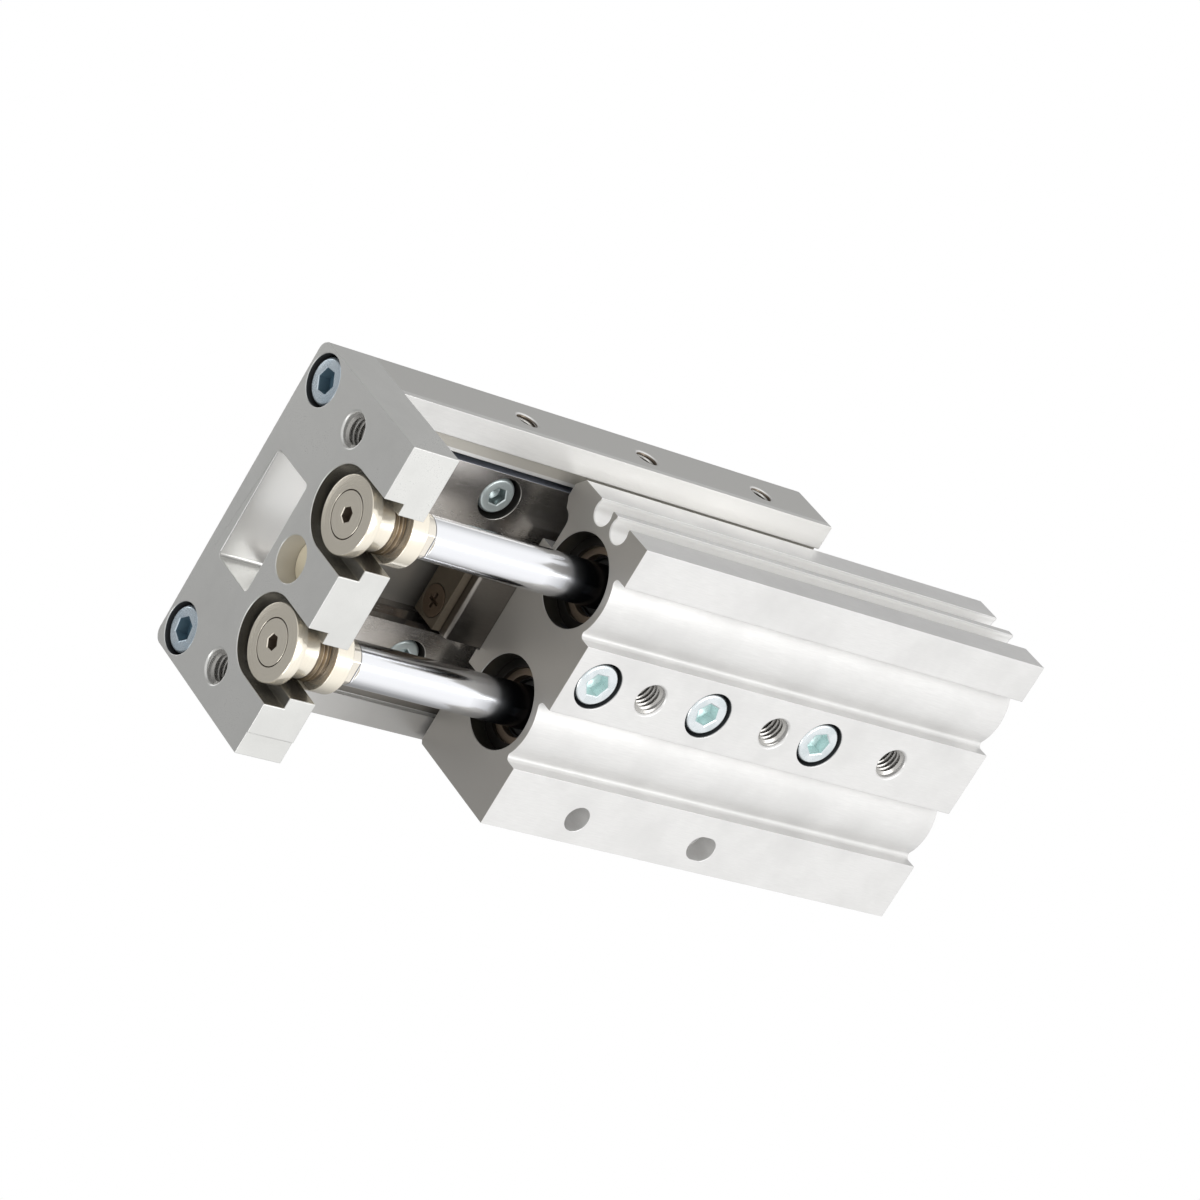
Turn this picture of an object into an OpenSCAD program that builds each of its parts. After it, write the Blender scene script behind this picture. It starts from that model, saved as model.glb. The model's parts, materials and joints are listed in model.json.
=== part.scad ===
// Pneumatic slide table with two pistons and a crossed-roller guide.
// The mounting face is Z = 0, the body's front face is X = 0, and the table travels along X.
// Drawn with the table fully extended. Millimetres.

/* [Travel] */
// Travel of the table
stroke = 40; // [30:1:44]
// Gap between the body and the end plate when the table is home
home_gap = 1.7; // [1.6:0.1:3]

/* [Body housing] */
// Length of the body
body_len = 99.6; // [96:0.2:110]
// Height of the body's top face
body_h = 24.8; // [24.4:0.1:26]
// Width of the body outside the rod guides on the groove side
groove_side_w = 5.4; // [5.2:0.1:6.4]
// Width of the body outside the rod guides on the port side
port_side_w = 9.4; // [8.8:0.1:10]
// Chamfer on the top edge of the groove side
body_chamfer = 2.1; // [1:0.1:2.4]
// Height of the two bores above the mounting face
rod_z = 11.8; // [11.6:0.1:12.2]
// Distance between the two bores
rod_pitch = 26; // [25.6:0.1:26.4]
// Diameter of the cylinder bores
bore_d = 16; // [15:0.1:16.4]
// Radial step from the bore to the rod guide's counterbore
guide_bore_step = 0.6; // [0.4:0.1:0.8]
// Wall under each bore, which shows as a round rib below
rib_wall = 2.2; // [1.8:0.1:2.4]
// Width of the lengthwise recess around each rib
recess_w = 12.4; // [11:0.1:12.8]
// Depth of that recess
recess_depth = 3; // [2.6:0.1:3.2]
// Round in the recess's inner corners
recess_round = 0.9; // [0.5:0.1:1.2]
// Depth of the seat for the guide block
seat_depth = 0.85; // [0.6:0.05:1.2]
// Side clearance between the guide block and its seat
seat_gap = 0.4; // [0.2:0.1:0.6]
// Width of the ridge on each side of the seat
ridge_w = 3.1; // [2.4:0.1:3.4]
// Width of the channel that clears the rail screws
channel_w = 9; // [8:0.1:9.4]
// Depth of that channel
channel_depth = 3.35; // [2.6:0.05:3.6]

/* [Switch grooves] */
// Diameter of the switch grooves
groove_d = 4.9; // [4:0.1:5]
// Width of a groove's mouth
groove_mouth = 4.3; // [3.4:0.1:4.6]
// How far a groove's centre lies inside the side face
groove_inset = 1.7; // [1.4:0.1:1.9]
// Height of the lower groove
groove_low_z = 8.7; // [8.2:0.1:9]
// Distance between the two grooves
groove_pitch = 5.95; // [5.8:0.05:6.3]

/* [Body mounting] */
// Diameter of the mounting threads
mount_thread_d = 6; // [5:1:6]
// Depth of the mounting threads
mount_thread_depth = 8.5; // [7:0.5:9]
// First mounting thread from the body's front
mount_thread_x = 19.2; // [18.4:0.2:19.8]
// Distance between mounting threads
mount_pitch = 30; // [29:0.5:30]
// Chamfer at the mouth of a thread
thread_chamfer = 0.35; // [0.2:0.05:0.5]
// Diameter of the locating hole and the slot's width
dowel_d = 5; // [4:1:5]
// Length of the locating slot
dowel_slot_len = 6.2; // [6:0.1:7]
// Depth of the locating holes
dowel_depth = 5; // [4:0.5:6]
// Locating holes from the body's plain side
dowel_edge = 5; // [4.4:0.2:5.4]

/* [Air ports] */
// Thread of the air ports
port_d = 5; // [4:0.5:5]
// Depth of the port threads
port_depth = 5.5; // [5:0.5:6]
// Diameter of the air passages
passage_d = 2; // [1.4:0.1:2.2]

/* [Screws] */
// Diameter of the socket screws in the end plate and the body
screw_d = 5; // [4:0.5:5]
// Head diameter of those screws
screw_head_d = 8.5; // [8:0.1:8.6]
// Head height of those screws
screw_head_h = 5; // [4:0.5:5]
// Across flats of the socket in a screw head
screw_hex = 4; // [3:0.5:4]
// Depth of that socket
screw_hex_depth = 2.5; // [2:0.1:3]
// Chamfer on the screw heads
screw_head_chamfer = 0.5; // [0.2:0.1:0.8]
// Radial gap around a screw head in its counterbore
head_gap = 0.45; // [0.2:0.05:0.5]
// Radial gap around a screw in its through hole
shank_gap = 0.25; // [0.1:0.05:0.4]

/* [Guide block] */
// Width of the guide block
block_w = 19.8; // [19:0.1:20.2]
// How far the guide block reaches out of the body's front
block_reach = 8.35; // [6:0.05:9]
// Length of the guide block
block_len = 96; // [90:0.5:100]
// Gap between the guide block and the table above it
block_top_gap = 0.6; // [0.4:0.1:1]
// Chamfer on the block's lower front edge
block_chamfer = 0.5; // [0.3:0.1:0.8]
// First guide screw from the body's front
guide_screw_x = 6.9; // [6.4:0.1:7.4]
// From the first guide screw to the second
guide_screw_front_pitch = 26.1; // [25.8:0.1:26.4]
// From the second guide screw to the third
guide_screw_rear_pitch = 27.6; // [27:0.1:28]
// How far the guide screw heads lie inside the mounting face
guide_head_sink = 0.3; // [0.1:0.1:0.6]
// How far the guide screws reach into the block
guide_screw_bite = 7; // [6:0.5:8]

/* [Stop plates] */
// Thickness of the stop plates
stop_t = 1.8; // [1.5:0.1:2]
// Height of the stop plates
stop_h = 7.2; // [6.6:0.1:7.4]
// Width of the stop plates
stop_w = 19.4; // [18:0.1:19.6]
// Distance between the two screws of a stop plate
stop_screw_pitch = 11.7; // [11:0.1:12]
// Head diameter of the stop plate screws
stop_head_d = 6; // [5:0.1:6.2]
// Thread of the stop plate screws
stop_screw_d = 3; // [2.5:0.5:3]
// Length of the stop plate screws
stop_screw_len = 6; // [5:0.5:8]

/* [Roller guide] */
// Height of the roller track above the block's seat
track_rise = 7.15; // [6.9:0.05:7.3]
// Gap between the guide block and each rail
guide_gap = 0.7; // [0.6:0.05:1]
// Diameter of the rollers
roller_d = 3; // [2.5:0.1:3]
// Distance between neighbouring rollers
roller_pitch = 4.8; // [4.4:0.1:5.4]
// Rollers on each side
roller_count = 11; // [8:1:11]
// Play between a roller and its track
roller_play = 0.03; // [0.02:0.01:0.05]
// Thickness of the roller cage
cage_t = 0.3; // [0.2:0.05:0.4]
// Height of the roller cage
cage_h = 5.6; // [5:0.2:6]
// Gap between a roller and its pocket
pocket_gap = 0.1; // [0.05:0.05:0.15]

/* [Rails] */
// Width of a rail
rail_w = 11.5; // [11:0.1:12]
// Height of a rail
rail_h = 8.6; // [8:0.1:9]
// From the table's ends to the rails
rail_end_gap = 1.5; // [1:0.1:3]
// First rail screw from the end plate's back
rail_screw_x = 30.4; // [28:0.2:31]
// Distance between rail screws
rail_screw_pitch = 28; // [27:0.5:28]
// Screws in each rail
rail_screw_count = 3; // [2:1:3]
// From a rail's track side to its screws
rail_screw_edge = 6.6; // [6.3:0.1:6.8]
// Diameter of the rail screws
rail_screw_d = 4; // [3:0.5:4]
// Head diameter of the rail screws
rail_screw_head_d = 7; // [6.4:0.1:7.2]
// Head height of the rail screws
rail_screw_head_h = 4; // [3.6:0.2:4.4]
// Across flats of the socket in a rail screw
rail_screw_hex = 3; // [2.5:0.5:3]
// Depth of that socket
rail_screw_hex_depth = 2; // [1.6:0.1:2.2]
// How far the rail screw heads lie inside the rail
rail_head_sink = 0.8; // [0.4:0.1:1]
// Radial gap around a rail screw head in its counterbore
rail_head_gap = 0.65; // [0.5:0.05:0.65]
// How far the rail screws reach into the table
rail_screw_bite = 3.4; // [3:0.1:3.6]

/* [Table] */
// Length of the table
table_len = 101; // [98:0.5:106]
// Width of the table's skirts
skirt_w = 7.9; // [7.4:0.1:9]
// Thickness of the table over the rails
table_t = 4.4; // [4.2:0.1:6]
// Gap between the body's top and the table's sides
skirt_gap = 0.9; // [0.6:0.1:1.2]
// Gap between a rail and the table's side
rail_side_gap = 1; // [0.6:0.1:1.4]
// Width of the step along the table's inner edge
skirt_step_w = 3; // [2:0.1:3.4]
// Height of that step
skirt_step_h = 1.1; // [0.6:0.1:1.4]
// Round on the table's and the end plate's long top edges
top_round = 2.2; // [1.5:0.1:2.4]
// Thread of the table's holes
table_thread_d = 4; // [3:0.5:4]
// Depth of the table's holes
table_thread_depth = 6; // [5:0.5:6]
// Height of the side holes below the table's top
side_hole_drop = 8.5; // [8.3:0.1:9]
// First side hole from the end plate's back
side_hole_x = 30.5; // [29:0.5:32]
// Distance between side holes
side_hole_pitch = 28.1; // [27:0.1:28.4]
// Distance of the top's threads from the skirts' inner faces
top_hole_in = 3.5; // [3.2:0.1:4]
// First row of top holes from the end plate's back
top_hole_x = 16.7; // [16.4:0.1:17.2]
// Distance between rows of top holes
top_hole_pitch = 28; // [27:0.5:28]
// Diameter of the locating holes on the table's top
table_dowel_d = 4; // [3:0.5:4]

/* [End plate] */
// Thickness of the end plate
plate_t = 9.7; // [9.2:0.1:11]
// Height of the end plate's lower edge
plate_low_z = 4.2; // [3.6:0.1:4.8]
// Distance of the end plate's screws from the skirts' inner faces
plate_screw_in = 2.5; // [2.4:0.1:3.4]
// End plate screws below its top
plate_screw_drop = 5.4; // [5.2:0.1:5.8]
// How far the end plate screw heads are sunk
plate_head_sink = 0.6; // [0.3:0.1:1]
// How far the end plate screws reach into the table
plate_screw_bite = 11; // [9:0.5:11]
// Distance of the end plate's threads from the slots' sides
plate_thread_in = 3.45; // [3.4:0.05:3.8]
// Height of those threads
plate_thread_z = 20.6; // [20:0.2:21.4]
// Width of the relief along the plate's lower edge on the port side
edge_relief_w = 4.4; // [3.6:0.1:4.6]
// Depth of that relief
edge_relief = 0.2; // [0.1:0.05:0.3]
// Width of the opening that clears the guide block
window_w = 22; // [21.4:0.1:22.6]
// Clearance of that opening below the guide block
window_low_gap = 0.3; // [0.2:0.05:0.4]
// Round in that opening's corners
window_round = 0.9; // [0.5:0.1:1.2]
// Width of the slots at the front
slot_w = 15.5; // [15:0.1:16]
// Depth of the wide part of the slots
slot_step = 4.3; // [4:0.1:4.8]
// Width of the slots at the back
slot_neck_w = 11.2; // [11:0.1:12]
// Height of the slots' round above the rods
slot_rise = 1.2; // [1:0.1:2.2]

/* [End damper] */
// Diameter of the end damper
damper_d = 8.3; // [7:0.1:8.4]
// Height of the end damper
damper_z = 17.5; // [17:0.1:17.6]
// How deep the damper's face lies in the end plate
damper_sink = 4; // [3:0.2:6]
// Gap between the damper and the body when the table is home
damper_gap = 0.3; // [0.2:0.05:0.5]

/* [Floating bushes] */
// Diameter of the bush's disc
disc_d = 13.9; // [13:0.1:14.2]
// Thickness of that disc
disc_t = 2.3; // [2:0.1:2.6]
// How far the disc lies inside the end plate's front
disc_sink = 0.9; // [0.5:0.1:1.2]
// Diameter of the stud's head in the disc
stud_head_d = 8.2; // [7.4:0.1:8.6]
// Across flats of the stud's socket
stud_hex = 2.5; // [2:0.5:3]
// Diameter of the bush's neck
neck_d = 9.8; // [9:0.1:10]
// Length of the bright neck
neck_len = 4.3; // [4:0.1:4.6]
// Diameter of the thread behind the neck
bush_thread_d = 10.2; // [9.6:0.1:10.4]
// Diameter of the collar on the rod
collar_d = 12.8; // [12.4:0.1:13.4]
// Thickness of that collar
collar_t = 3.5; // [3.2:0.1:3.6]
// Gap between the end plate and the collar
collar_gap = 0.3; // [0.2:0.05:0.4]

/* [Rods and pistons] */
// Diameter of the piston rods
rod_d = 8; // [7:0.1:8.2]
// Width over the two flats on a rod's front end
rod_flats = 7; // [6.6:0.1:7.4]
// Length of those flats
rod_flats_len = 3.6; // [3.2:0.1:3.6]
// Diameter of the rod's thread in the collar and the piston
rod_spigot_d = 5; // [4:0.5:5]
// Radial play of the rods and pistons in their bores
running_play = 0.05; // [0.03:0.01:0.08]
// Length of a piston
piston_len = 16; // [14:0.2:16]
// Length of the rod's end inside the piston
piston_spigot_len = 10; // [8:0.5:12]
// Width of a piston seal
seal_w = 2.2; // [1.8:0.1:2.4]
// Depth of a piston seal's groove
seal_depth = 1.6; // [1.2:0.1:1.8]
// Width of the piston's magnet ring
magnet_w = 3; // [2:0.2:3.4]

/* [Rod guides] */
// Gap between a collar and its rod guide when the table is home
rod_guide_gap = 2.3; // [2.2:0.1:2.8]
// Length of the rod guide's body
rod_guide_len = 18; // [17.6:0.1:18.4]
// Diameter of the nose on the rod guide and head cap
nose_d = 12.4; // [11:0.1:13]
// Length of that nose
nose_len = 2.5; // [2.3:0.1:2.8]
// How far the rod seal lies inside the rod guide, clear of the rod's flats
seal_inset = 1.4; // [1.4:0.1:2]
// Width of the rod seal
rod_seal_w = 3; // [2.4:0.1:3.6]
// Radial thickness of the rod seal
rod_seal_t = 1.5; // [1:0.1:1.6]
// Section of the O-rings
o_ring_d = 1.8; // [1.4:0.1:2]

/* [Head caps] */
// Depth of the head cap behind the body's rear
head_cap_sink = 2.6; // [2.4:0.1:3]
// Gap between a nose and the piston at the end of travel
piston_end_gap = 0.3; // [0.2:0.05:0.5]

/* [Retaining rings] */
// Thickness of the retaining rings
ring_t = 1; // [0.8:0.1:1]
// Depth of the retaining ring grooves
ring_groove_depth = 0.6; // [0.5:0.05:0.7]
// Radial width of the retaining rings
ring_w = 1.7; // [1.4:0.1:1.9]
// Gap between a retaining ring's ends
ring_mouth = 5; // [4:0.1:6]

/* [Hidden] */
$fn = 64;

// fits and overshoots
seat_fit = 0.02;      // between pieces that are pressed or screwed together
over = 1;             // how far a cut runs past a face
channel_round = 2.2;  // round at the foot of the rail screw channel

// widths
left = 1;
right = -1;
bore_r = bore_d / 2;
guide_bore_r = bore_r + guide_bore_step;
rail_in = block_w / 2 + guide_gap;
rail_out = rail_in + rail_w;
skirt_in = rail_out + rail_side_gap;
track_y = block_w / 2 + guide_gap / 2;
rod_y = rod_pitch / 2;
body_left = rod_y + guide_bore_r + groove_side_w;
body_right = -rod_y - guide_bore_r - port_side_w;
table_side = skirt_in + skirt_w;
plate_screw_y = skirt_in + plate_screw_in;

// heights
seat_z = body_h - seat_depth;
track_z = seat_z + track_rise;
rail_low_z = track_z - rail_h / 2;
rail_top_z = track_z + rail_h / 2;
table_top_z = rail_top_z + table_t;
block_top_z = rail_top_z - block_top_gap;
skirt_low_z = body_h + skirt_gap;
stop_low_z = seat_z + 1.95;
stop_z = stop_low_z + stop_h / 2;

// places along the travel, table extended
plate_back = stroke + home_gap;
plate_front = plate_back + plate_t;
table_rear = plate_back - table_len;
block_front = block_reach;
block_rear = block_front - block_len;
rail_front = plate_back - rail_end_gap;
rail_rear = table_rear + rail_end_gap;
disc_front = plate_front - disc_sink;
disc_back = disc_front - disc_t;
collar_front = plate_back - collar_gap;
collar_back = collar_front - collar_t;
flats_back = collar_back - rod_flats_len;
rod_guide_front = collar_back - stroke - rod_guide_gap;
seal_front = rod_guide_front - seal_inset;
rod_guide_back = rod_guide_front - rod_guide_len;
piston_front = rod_guide_back - nose_len - piston_end_gap;
piston_rear = piston_front - piston_len;
cap_nose_front = piston_rear - stroke - piston_end_gap;
cap_front = cap_nose_front - nose_len;
cap_back = -body_len + head_cap_sink;
front_port_x = rod_guide_back - nose_len / 2;
rear_port_x = cap_nose_front - nose_len / 2;
guide_screw_xs = [-guide_screw_x, -guide_screw_x - guide_screw_front_pitch,
    -guide_screw_x - guide_screw_front_pitch - guide_screw_rear_pitch];
rail_screw_xs = [for (i = [0 : rail_screw_count - 1]) plate_back - rail_screw_x - i * rail_screw_pitch];
cage_centre = (rail_rear + block_front) / 2;
// Screw sizes: diameter, head diameter, head height, across flats and depth of the socket, and the gap
// round the head in its counterbore
BODY_SCREW = [screw_d, screw_head_d, screw_head_h, screw_hex, screw_hex_depth, head_gap];
RAIL_SCREW = [rail_screw_d, rail_screw_head_d, rail_screw_head_h, rail_screw_hex, rail_screw_hex_depth,
    rail_head_gap];

// ---- helpers ----

// Extrudes a Y-Z outline from x0 to x1.
module along_x(x0, x1) {
    translate([x0, 0, 0]) rotate([90, 0, 90]) linear_extrude(x1 - x0) children();
}

// A round bar along X from x0 to x1.
module x_bar(x0, x1, r) {
    translate([x0, 0, 0]) rotate([0, 90, 0]) cylinder(r = r, h = x1 - x0);
}

// A tube along X from x0 to x1.
module x_tube(x0, x1, r_out, r_in) {
    difference() {
        x_bar(x0, x1, r_out);
        x_bar(x0 - over, x1 + over, r_in);
    }
}

// A ring of round section around X, centred on x.
module x_ring(x, r_mid, r_section) {
    translate([x, 0, 0]) rotate([0, 90, 0]) rotate_extrude() translate([r_mid, 0]) circle(r_section);
}

module at_rod(side) {
    translate([0, side * rod_y, rod_z]) children();
}

module at_rods() {
    for (side = [right, left]) at_rod(side) children();
}

module hex_bar(af, h) {
    cylinder(d = af / cos(30), h = h, $fn = 6);
}

// A tapped hole with its mouth at the origin, going into +Z.
module tapped_hole(d, depth) {
    translate([0, 0, -over]) cylinder(d = d, h = depth + over);
    translate([0, 0, -0.01]) cylinder(r1 = d / 2 + thread_chamfer, r2 = d / 2, h = thread_chamfer);
    translate([0, 0, depth]) cylinder(r1 = d / 2, r2 = 0, h = d / 4);
}

// A socket head screw: its head's face is at the origin and it points to +Z.
module cap_screw(size, length) {
    r = size[1] / 2;
    difference() {
        union() {
            cylinder(r1 = r - screw_head_chamfer, r2 = r, h = screw_head_chamfer);
            translate([0, 0, screw_head_chamfer]) cylinder(r = r, h = size[2] - screw_head_chamfer);
            translate([0, 0, size[2]]) cylinder(d = size[0], h = length);
        }
        translate([0, 0, -over]) hex_bar(size[3], size[4] + over);
    }
}

// The hole for a socket head screw whose head sits sink below the face, with the screw's own place.
module cap_screw_hole(size, length, sink) {
    translate([0, 0, -sink - over]) cylinder(r = size[1] / 2 + size[5], h = size[2] + sink + over);
    cylinder(r = size[0] / 2 + shank_gap, h = size[2] + length + over);
}

// An open retaining ring lying in the Y-Z plane from x to x + ring_t.
module retaining_ring(x, r_groove) {
    r_out = r_groove - 0.05;
    r_in = r_out - ring_groove_depth - ring_w;
    lug_r = 1.1;
    lug_y = ring_mouth / 2 + lug_r * 0.6;
    lug_z = -r_in - lug_r * 0.2 + ring_w * 0.2;
    difference() {
        union() {
            difference() {
                x_tube(x, x + ring_t, r_out, r_in);
                translate([x - over, -ring_mouth / 2, -r_out - over])
                    cube([ring_t + 2 * over, ring_mouth, r_out]);
            }
            for (side = [right, left])
                translate([0, side * lug_y, lug_z]) x_bar(x, x + ring_t, lug_r);
        }
        for (side = [right, left])
            translate([0, side * lug_y, lug_z]) x_bar(x - over, x + ring_t + over, 0.55);
    }
}

// The square roller track, cut half into the block and half into the rail.
module track_outline(side) {
    translate([side * track_y, track_z]) rotate(45)
        square(roller_d + 2 * roller_play, center = true);
}

// The outline of the table and end plate down to z0, with round top edges.
module plate_outline(z0) {
    half = table_side;
    translate([-half, z0]) square([2 * half, table_top_z - top_round - z0]);
    translate([-half + top_round, z0]) square([2 * (half - top_round), table_top_z - z0]);
    for (side = [right, left])
        translate([side * (half - top_round), table_top_z - top_round]) circle(top_round);
}

// A rectangle with round corners.
module round_rect(w, h, r) {
    translate([-w / 2 + r, -h / 2]) square([w - 2 * r, h]);
    translate([-w / 2, -h / 2 + r]) square([w, h - 2 * r]);
    for (y = [-1, 1], z = [-1, 1]) translate([y * (w / 2 - r), z * (h / 2 - r)]) circle(r);
}

// ---- body side ----

// Recess around one rib, with round inner corners.
module rib_recess() {
    half = recess_w / 2;
    difference() {
        translate([rod_y, 0]) {
            translate([-half, -over]) square([recess_w, over + recess_depth - recess_round]);
            translate([-half + recess_round, -over])
                square([recess_w - 2 * recess_round, over + recess_depth]);
            for (side = [right, left])
                translate([side * (half - recess_round), recess_depth - recess_round])
                    circle(recess_round);
        }
        translate([rod_y, rod_z]) circle(bore_r + rib_wall);
    }
}

// Channel that clears the rail screw heads, with a round foot and a sloped shoulder.
module screw_channel() {
    inner = block_w / 2 + seat_gap + ridge_w;
    foot = body_h - channel_depth;
    outer = inner + channel_w;
    round_y = outer - channel_round - 1.9;
    translate([inner, foot]) square([round_y - inner, channel_depth + over]);
    translate([round_y, foot + channel_round]) circle(channel_round);
    translate([round_y, foot + channel_round])
        square([channel_round, channel_depth - channel_round + over]);
    translate([round_y + channel_round - 0.01, body_h + 0.01])
        polygon([[0, 0], [0, -1.3], [0.6, -0.9], [1.9, 0]]);
}

// The seat between the ridges for the guide block.
module block_seat() {
    half = block_w / 2 + seat_gap;
    translate([-half, seat_z]) square([2 * half, seat_depth + over]);
}

module switch_groove(z) {
    translate([body_left - groove_inset, z]) circle(d = groove_d);
    translate([body_left - groove_inset, z - groove_mouth / 2])
        square([groove_inset + over, groove_mouth]);
}

module body_outline() {
    difference() {
        polygon([[body_right, 0], [body_left, 0], [body_left, body_h - body_chamfer],
            [body_left - body_chamfer, body_h], [body_right + 0.6, body_h], [body_right, body_h - 0.6]]);
        rib_recess();
        mirror([1, 0]) rib_recess();
        screw_channel();
        mirror([1, 0]) screw_channel();
        block_seat();
        switch_groove(groove_low_z);
        switch_groove(groove_low_z + groove_pitch);
    }
}

module body_housing() {
    color([0.86, 0.87, 0.87])
    difference() {
        along_x(-body_len, 0) body_outline();
        at_rods() {
            x_bar(-body_len - over, over, bore_r);
            x_bar(rod_guide_back, over, guide_bore_r);
            x_bar(rod_guide_front - seat_fit, rod_guide_front + ring_t + seat_fit,
                guide_bore_r + ring_groove_depth);
            x_bar(cap_back - ring_t - seat_fit, cap_back + seat_fit, bore_r + ring_groove_depth);
        }
        for (x = guide_screw_xs)
            translate([x, 0, guide_head_sink]) cap_screw_hole(BODY_SCREW, seat_z, guide_head_sink);
        for (i = [0 : 2])
            translate([-mount_thread_x - i * mount_pitch, 0, 0])
                tapped_hole(mount_thread_d, mount_thread_depth);
        translate([-mount_thread_x, body_right + dowel_edge, -over])
            cylinder(d = dowel_d, h = dowel_depth + over);
        translate([-mount_thread_x - mount_pitch, body_right + dowel_edge, 0]) dowel_slot();
        for (x = [front_port_x, rear_port_x])
            translate([x, body_right, rod_z]) rotate([-90, 0, 0]) {
                tapped_hole(port_d, port_depth);
                cylinder(d = passage_d, h = rod_y - bore_r - body_right + over);
            }
    }
}

module dowel_slot() {
    half = (dowel_slot_len - dowel_d) / 2;
    translate([0, 0, -over]) {
        for (x = [-half, half]) translate([x, 0, 0]) cylinder(d = dowel_d, h = dowel_depth + over);
        translate([-half, -dowel_d / 2, 0]) cube([2 * half, dowel_d, dowel_depth + over]);
    }
}

module guide_block() {
    half = block_w / 2;
    bite = guide_screw_bite;
    color([0.30, 0.29, 0.28])
    difference() {
        along_x(block_rear, block_front) difference() {
            translate([-half, seat_z]) square([block_w, block_top_z - seat_z]);
            track_outline(left);
            track_outline(right);
        }
        // lower front and rear edges
        for (x = [block_front, block_rear])
            translate([x, 0, seat_z]) rotate([0, 45, 0])
                cube([block_chamfer * sqrt(2), block_w + over, block_chamfer * sqrt(2)], center = true);
        for (x = guide_screw_xs)
            translate([x, 0, seat_z - over]) cylinder(d = screw_d + 2 * seat_fit, h = bite + 2 * over);
        stop_screw_holes(block_front, 0);
        mirror([1, 0, 0]) stop_screw_holes(-block_rear, 0);
    }
}

module guide_block_screws() {
    color([0.80, 0.83, 0.85])
    for (x = guide_screw_xs)
        translate([x, 0, guide_head_sink])
            cap_screw(BODY_SCREW, seat_z + guide_screw_bite - guide_head_sink - screw_head_h);
}

// Tapped holes for a stop plate's screws, going back from the face at x.
module stop_screw_holes(x, extra) {
    for (side = [right, left])
        translate([x, side * stop_screw_pitch / 2, stop_z]) rotate([0, -90, 0])
            translate([0, 0, -over])
                cylinder(d = stop_screw_d + 2 * seat_fit + extra, h = stop_screw_len + 2 * over);
}

// A stop plate with its back on the face at x.
module stop_plate(x) {
    difference() {
        translate([x + seat_fit, -stop_w / 2, stop_low_z]) cube([stop_t, stop_w, stop_h]);
        for (side = [right, left])
            translate([x + stop_t + seat_fit, side * stop_screw_pitch / 2, stop_z]) rotate([0, -90, 0]) {
                translate([0, 0, -over]) cylinder(d = stop_screw_d + 0.4, h = stop_t + 2 * over);
                stop_head(0.15, over);
            }
    }
}

// The countersunk head of a stop plate screw: its face is at the origin and it points to +Z.
module stop_head(gap, rise) {
    r = stop_head_d / 2 + gap;
    translate([0, 0, -rise]) cylinder(r = r, h = rise + 0.25);
    translate([0, 0, 0.25]) cylinder(r1 = r, r2 = stop_screw_d / 2 + gap, h = stop_t - 0.45);
}

// The two screws of a stop plate whose back is at x.
module stop_plate_screw_pair(x) {
    for (side = [right, left])
        translate([x + stop_t + seat_fit, side * stop_screw_pitch / 2, stop_z]) rotate([0, -90, 0])
            difference() {
                union() {
                    stop_head(0, 0);
                    cylinder(d = stop_screw_d, h = stop_screw_len);
                }
                for (a = [0, 90]) rotate(a) translate([-1.5, -0.35, -over]) cube([3, 0.7, 1 + over]);
            }
}

module front_stop_plate() {
    color([0.50, 0.46, 0.40]) stop_plate(block_front);
}

module rear_stop_plate() {
    color([0.50, 0.46, 0.40]) mirror([1, 0, 0]) stop_plate(-block_rear);
}

module stop_plate_screws() {
    color([0.42, 0.38, 0.34]) {
        stop_plate_screw_pair(block_front);
        mirror([1, 0, 0]) stop_plate_screw_pair(-block_rear);
    }
}

// The guide that closes a bore's front and carries the rod.
module rod_guide() {
    seal_r = rod_d / 2 + rod_seal_t + running_play;
    x_groove = rod_guide_back + rod_guide_len / 3;
    difference() {
        union() {
            x_bar(rod_guide_back, rod_guide_front, guide_bore_r - seat_fit);
            x_bar(rod_guide_back - nose_len, rod_guide_front, nose_d / 2);
        }
        x_bar(rod_guide_back - nose_len - over, over, rod_d / 2 + running_play);
        x_bar(seal_front - rod_seal_w, over, seal_r);
        x_tube(x_groove - o_ring_d * 0.6, x_groove + o_ring_d * 0.6, guide_bore_r + over,
            guide_bore_r - o_ring_d - seat_fit);
    }
}

module left_rod_guide() {
    color([0.44, 0.37, 0.30]) at_rod(left) rod_guide();
}

module right_rod_guide() {
    color([0.44, 0.37, 0.30]) at_rod(right) rod_guide();
}

module rod_seals() {
    r_out = rod_d / 2 + rod_seal_t + running_play - seat_fit;
    color([0.06, 0.06, 0.06])
    at_rods() difference() {
        x_tube(seal_front - rod_seal_w + seat_fit, seal_front, r_out, rod_d / 2 + running_play);
        x_tube(seal_front - 0.8, seal_front + over, r_out - 0.35, r_out - 0.85);
    }
}

module rod_guide_o_rings() {
    x_groove = rod_guide_back + rod_guide_len / 3;
    color([0.08, 0.08, 0.08])
    at_rods() x_ring(x_groove, guide_bore_r - o_ring_d / 2 - seat_fit / 2, o_ring_d / 2 - seat_fit / 2);
}

module front_retaining_rings() {
    color([0.20, 0.18, 0.16])
    at_rods() retaining_ring(rod_guide_front, guide_bore_r + ring_groove_depth);
}

// The cap that closes a bore's rear.
module head_cap() {
    x_groove = (cap_front + cap_back) / 2;
    difference() {
        union() {
            x_bar(cap_back, cap_front, bore_r - seat_fit);
            x_bar(cap_back, cap_nose_front, nose_d / 2);
        }
        x_tube(x_groove - o_ring_d * 0.6, x_groove + o_ring_d * 0.6, bore_r + over,
            bore_r - o_ring_d - seat_fit);
        // pulling hole in the cap's outer face
        x_bar(cap_back - over, cap_back + 5, 1.6);
    }
}

module left_head_cap() {
    color([0.62, 0.63, 0.64]) at_rod(left) head_cap();
}

module right_head_cap() {
    color([0.62, 0.63, 0.64]) at_rod(right) head_cap();
}

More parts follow.
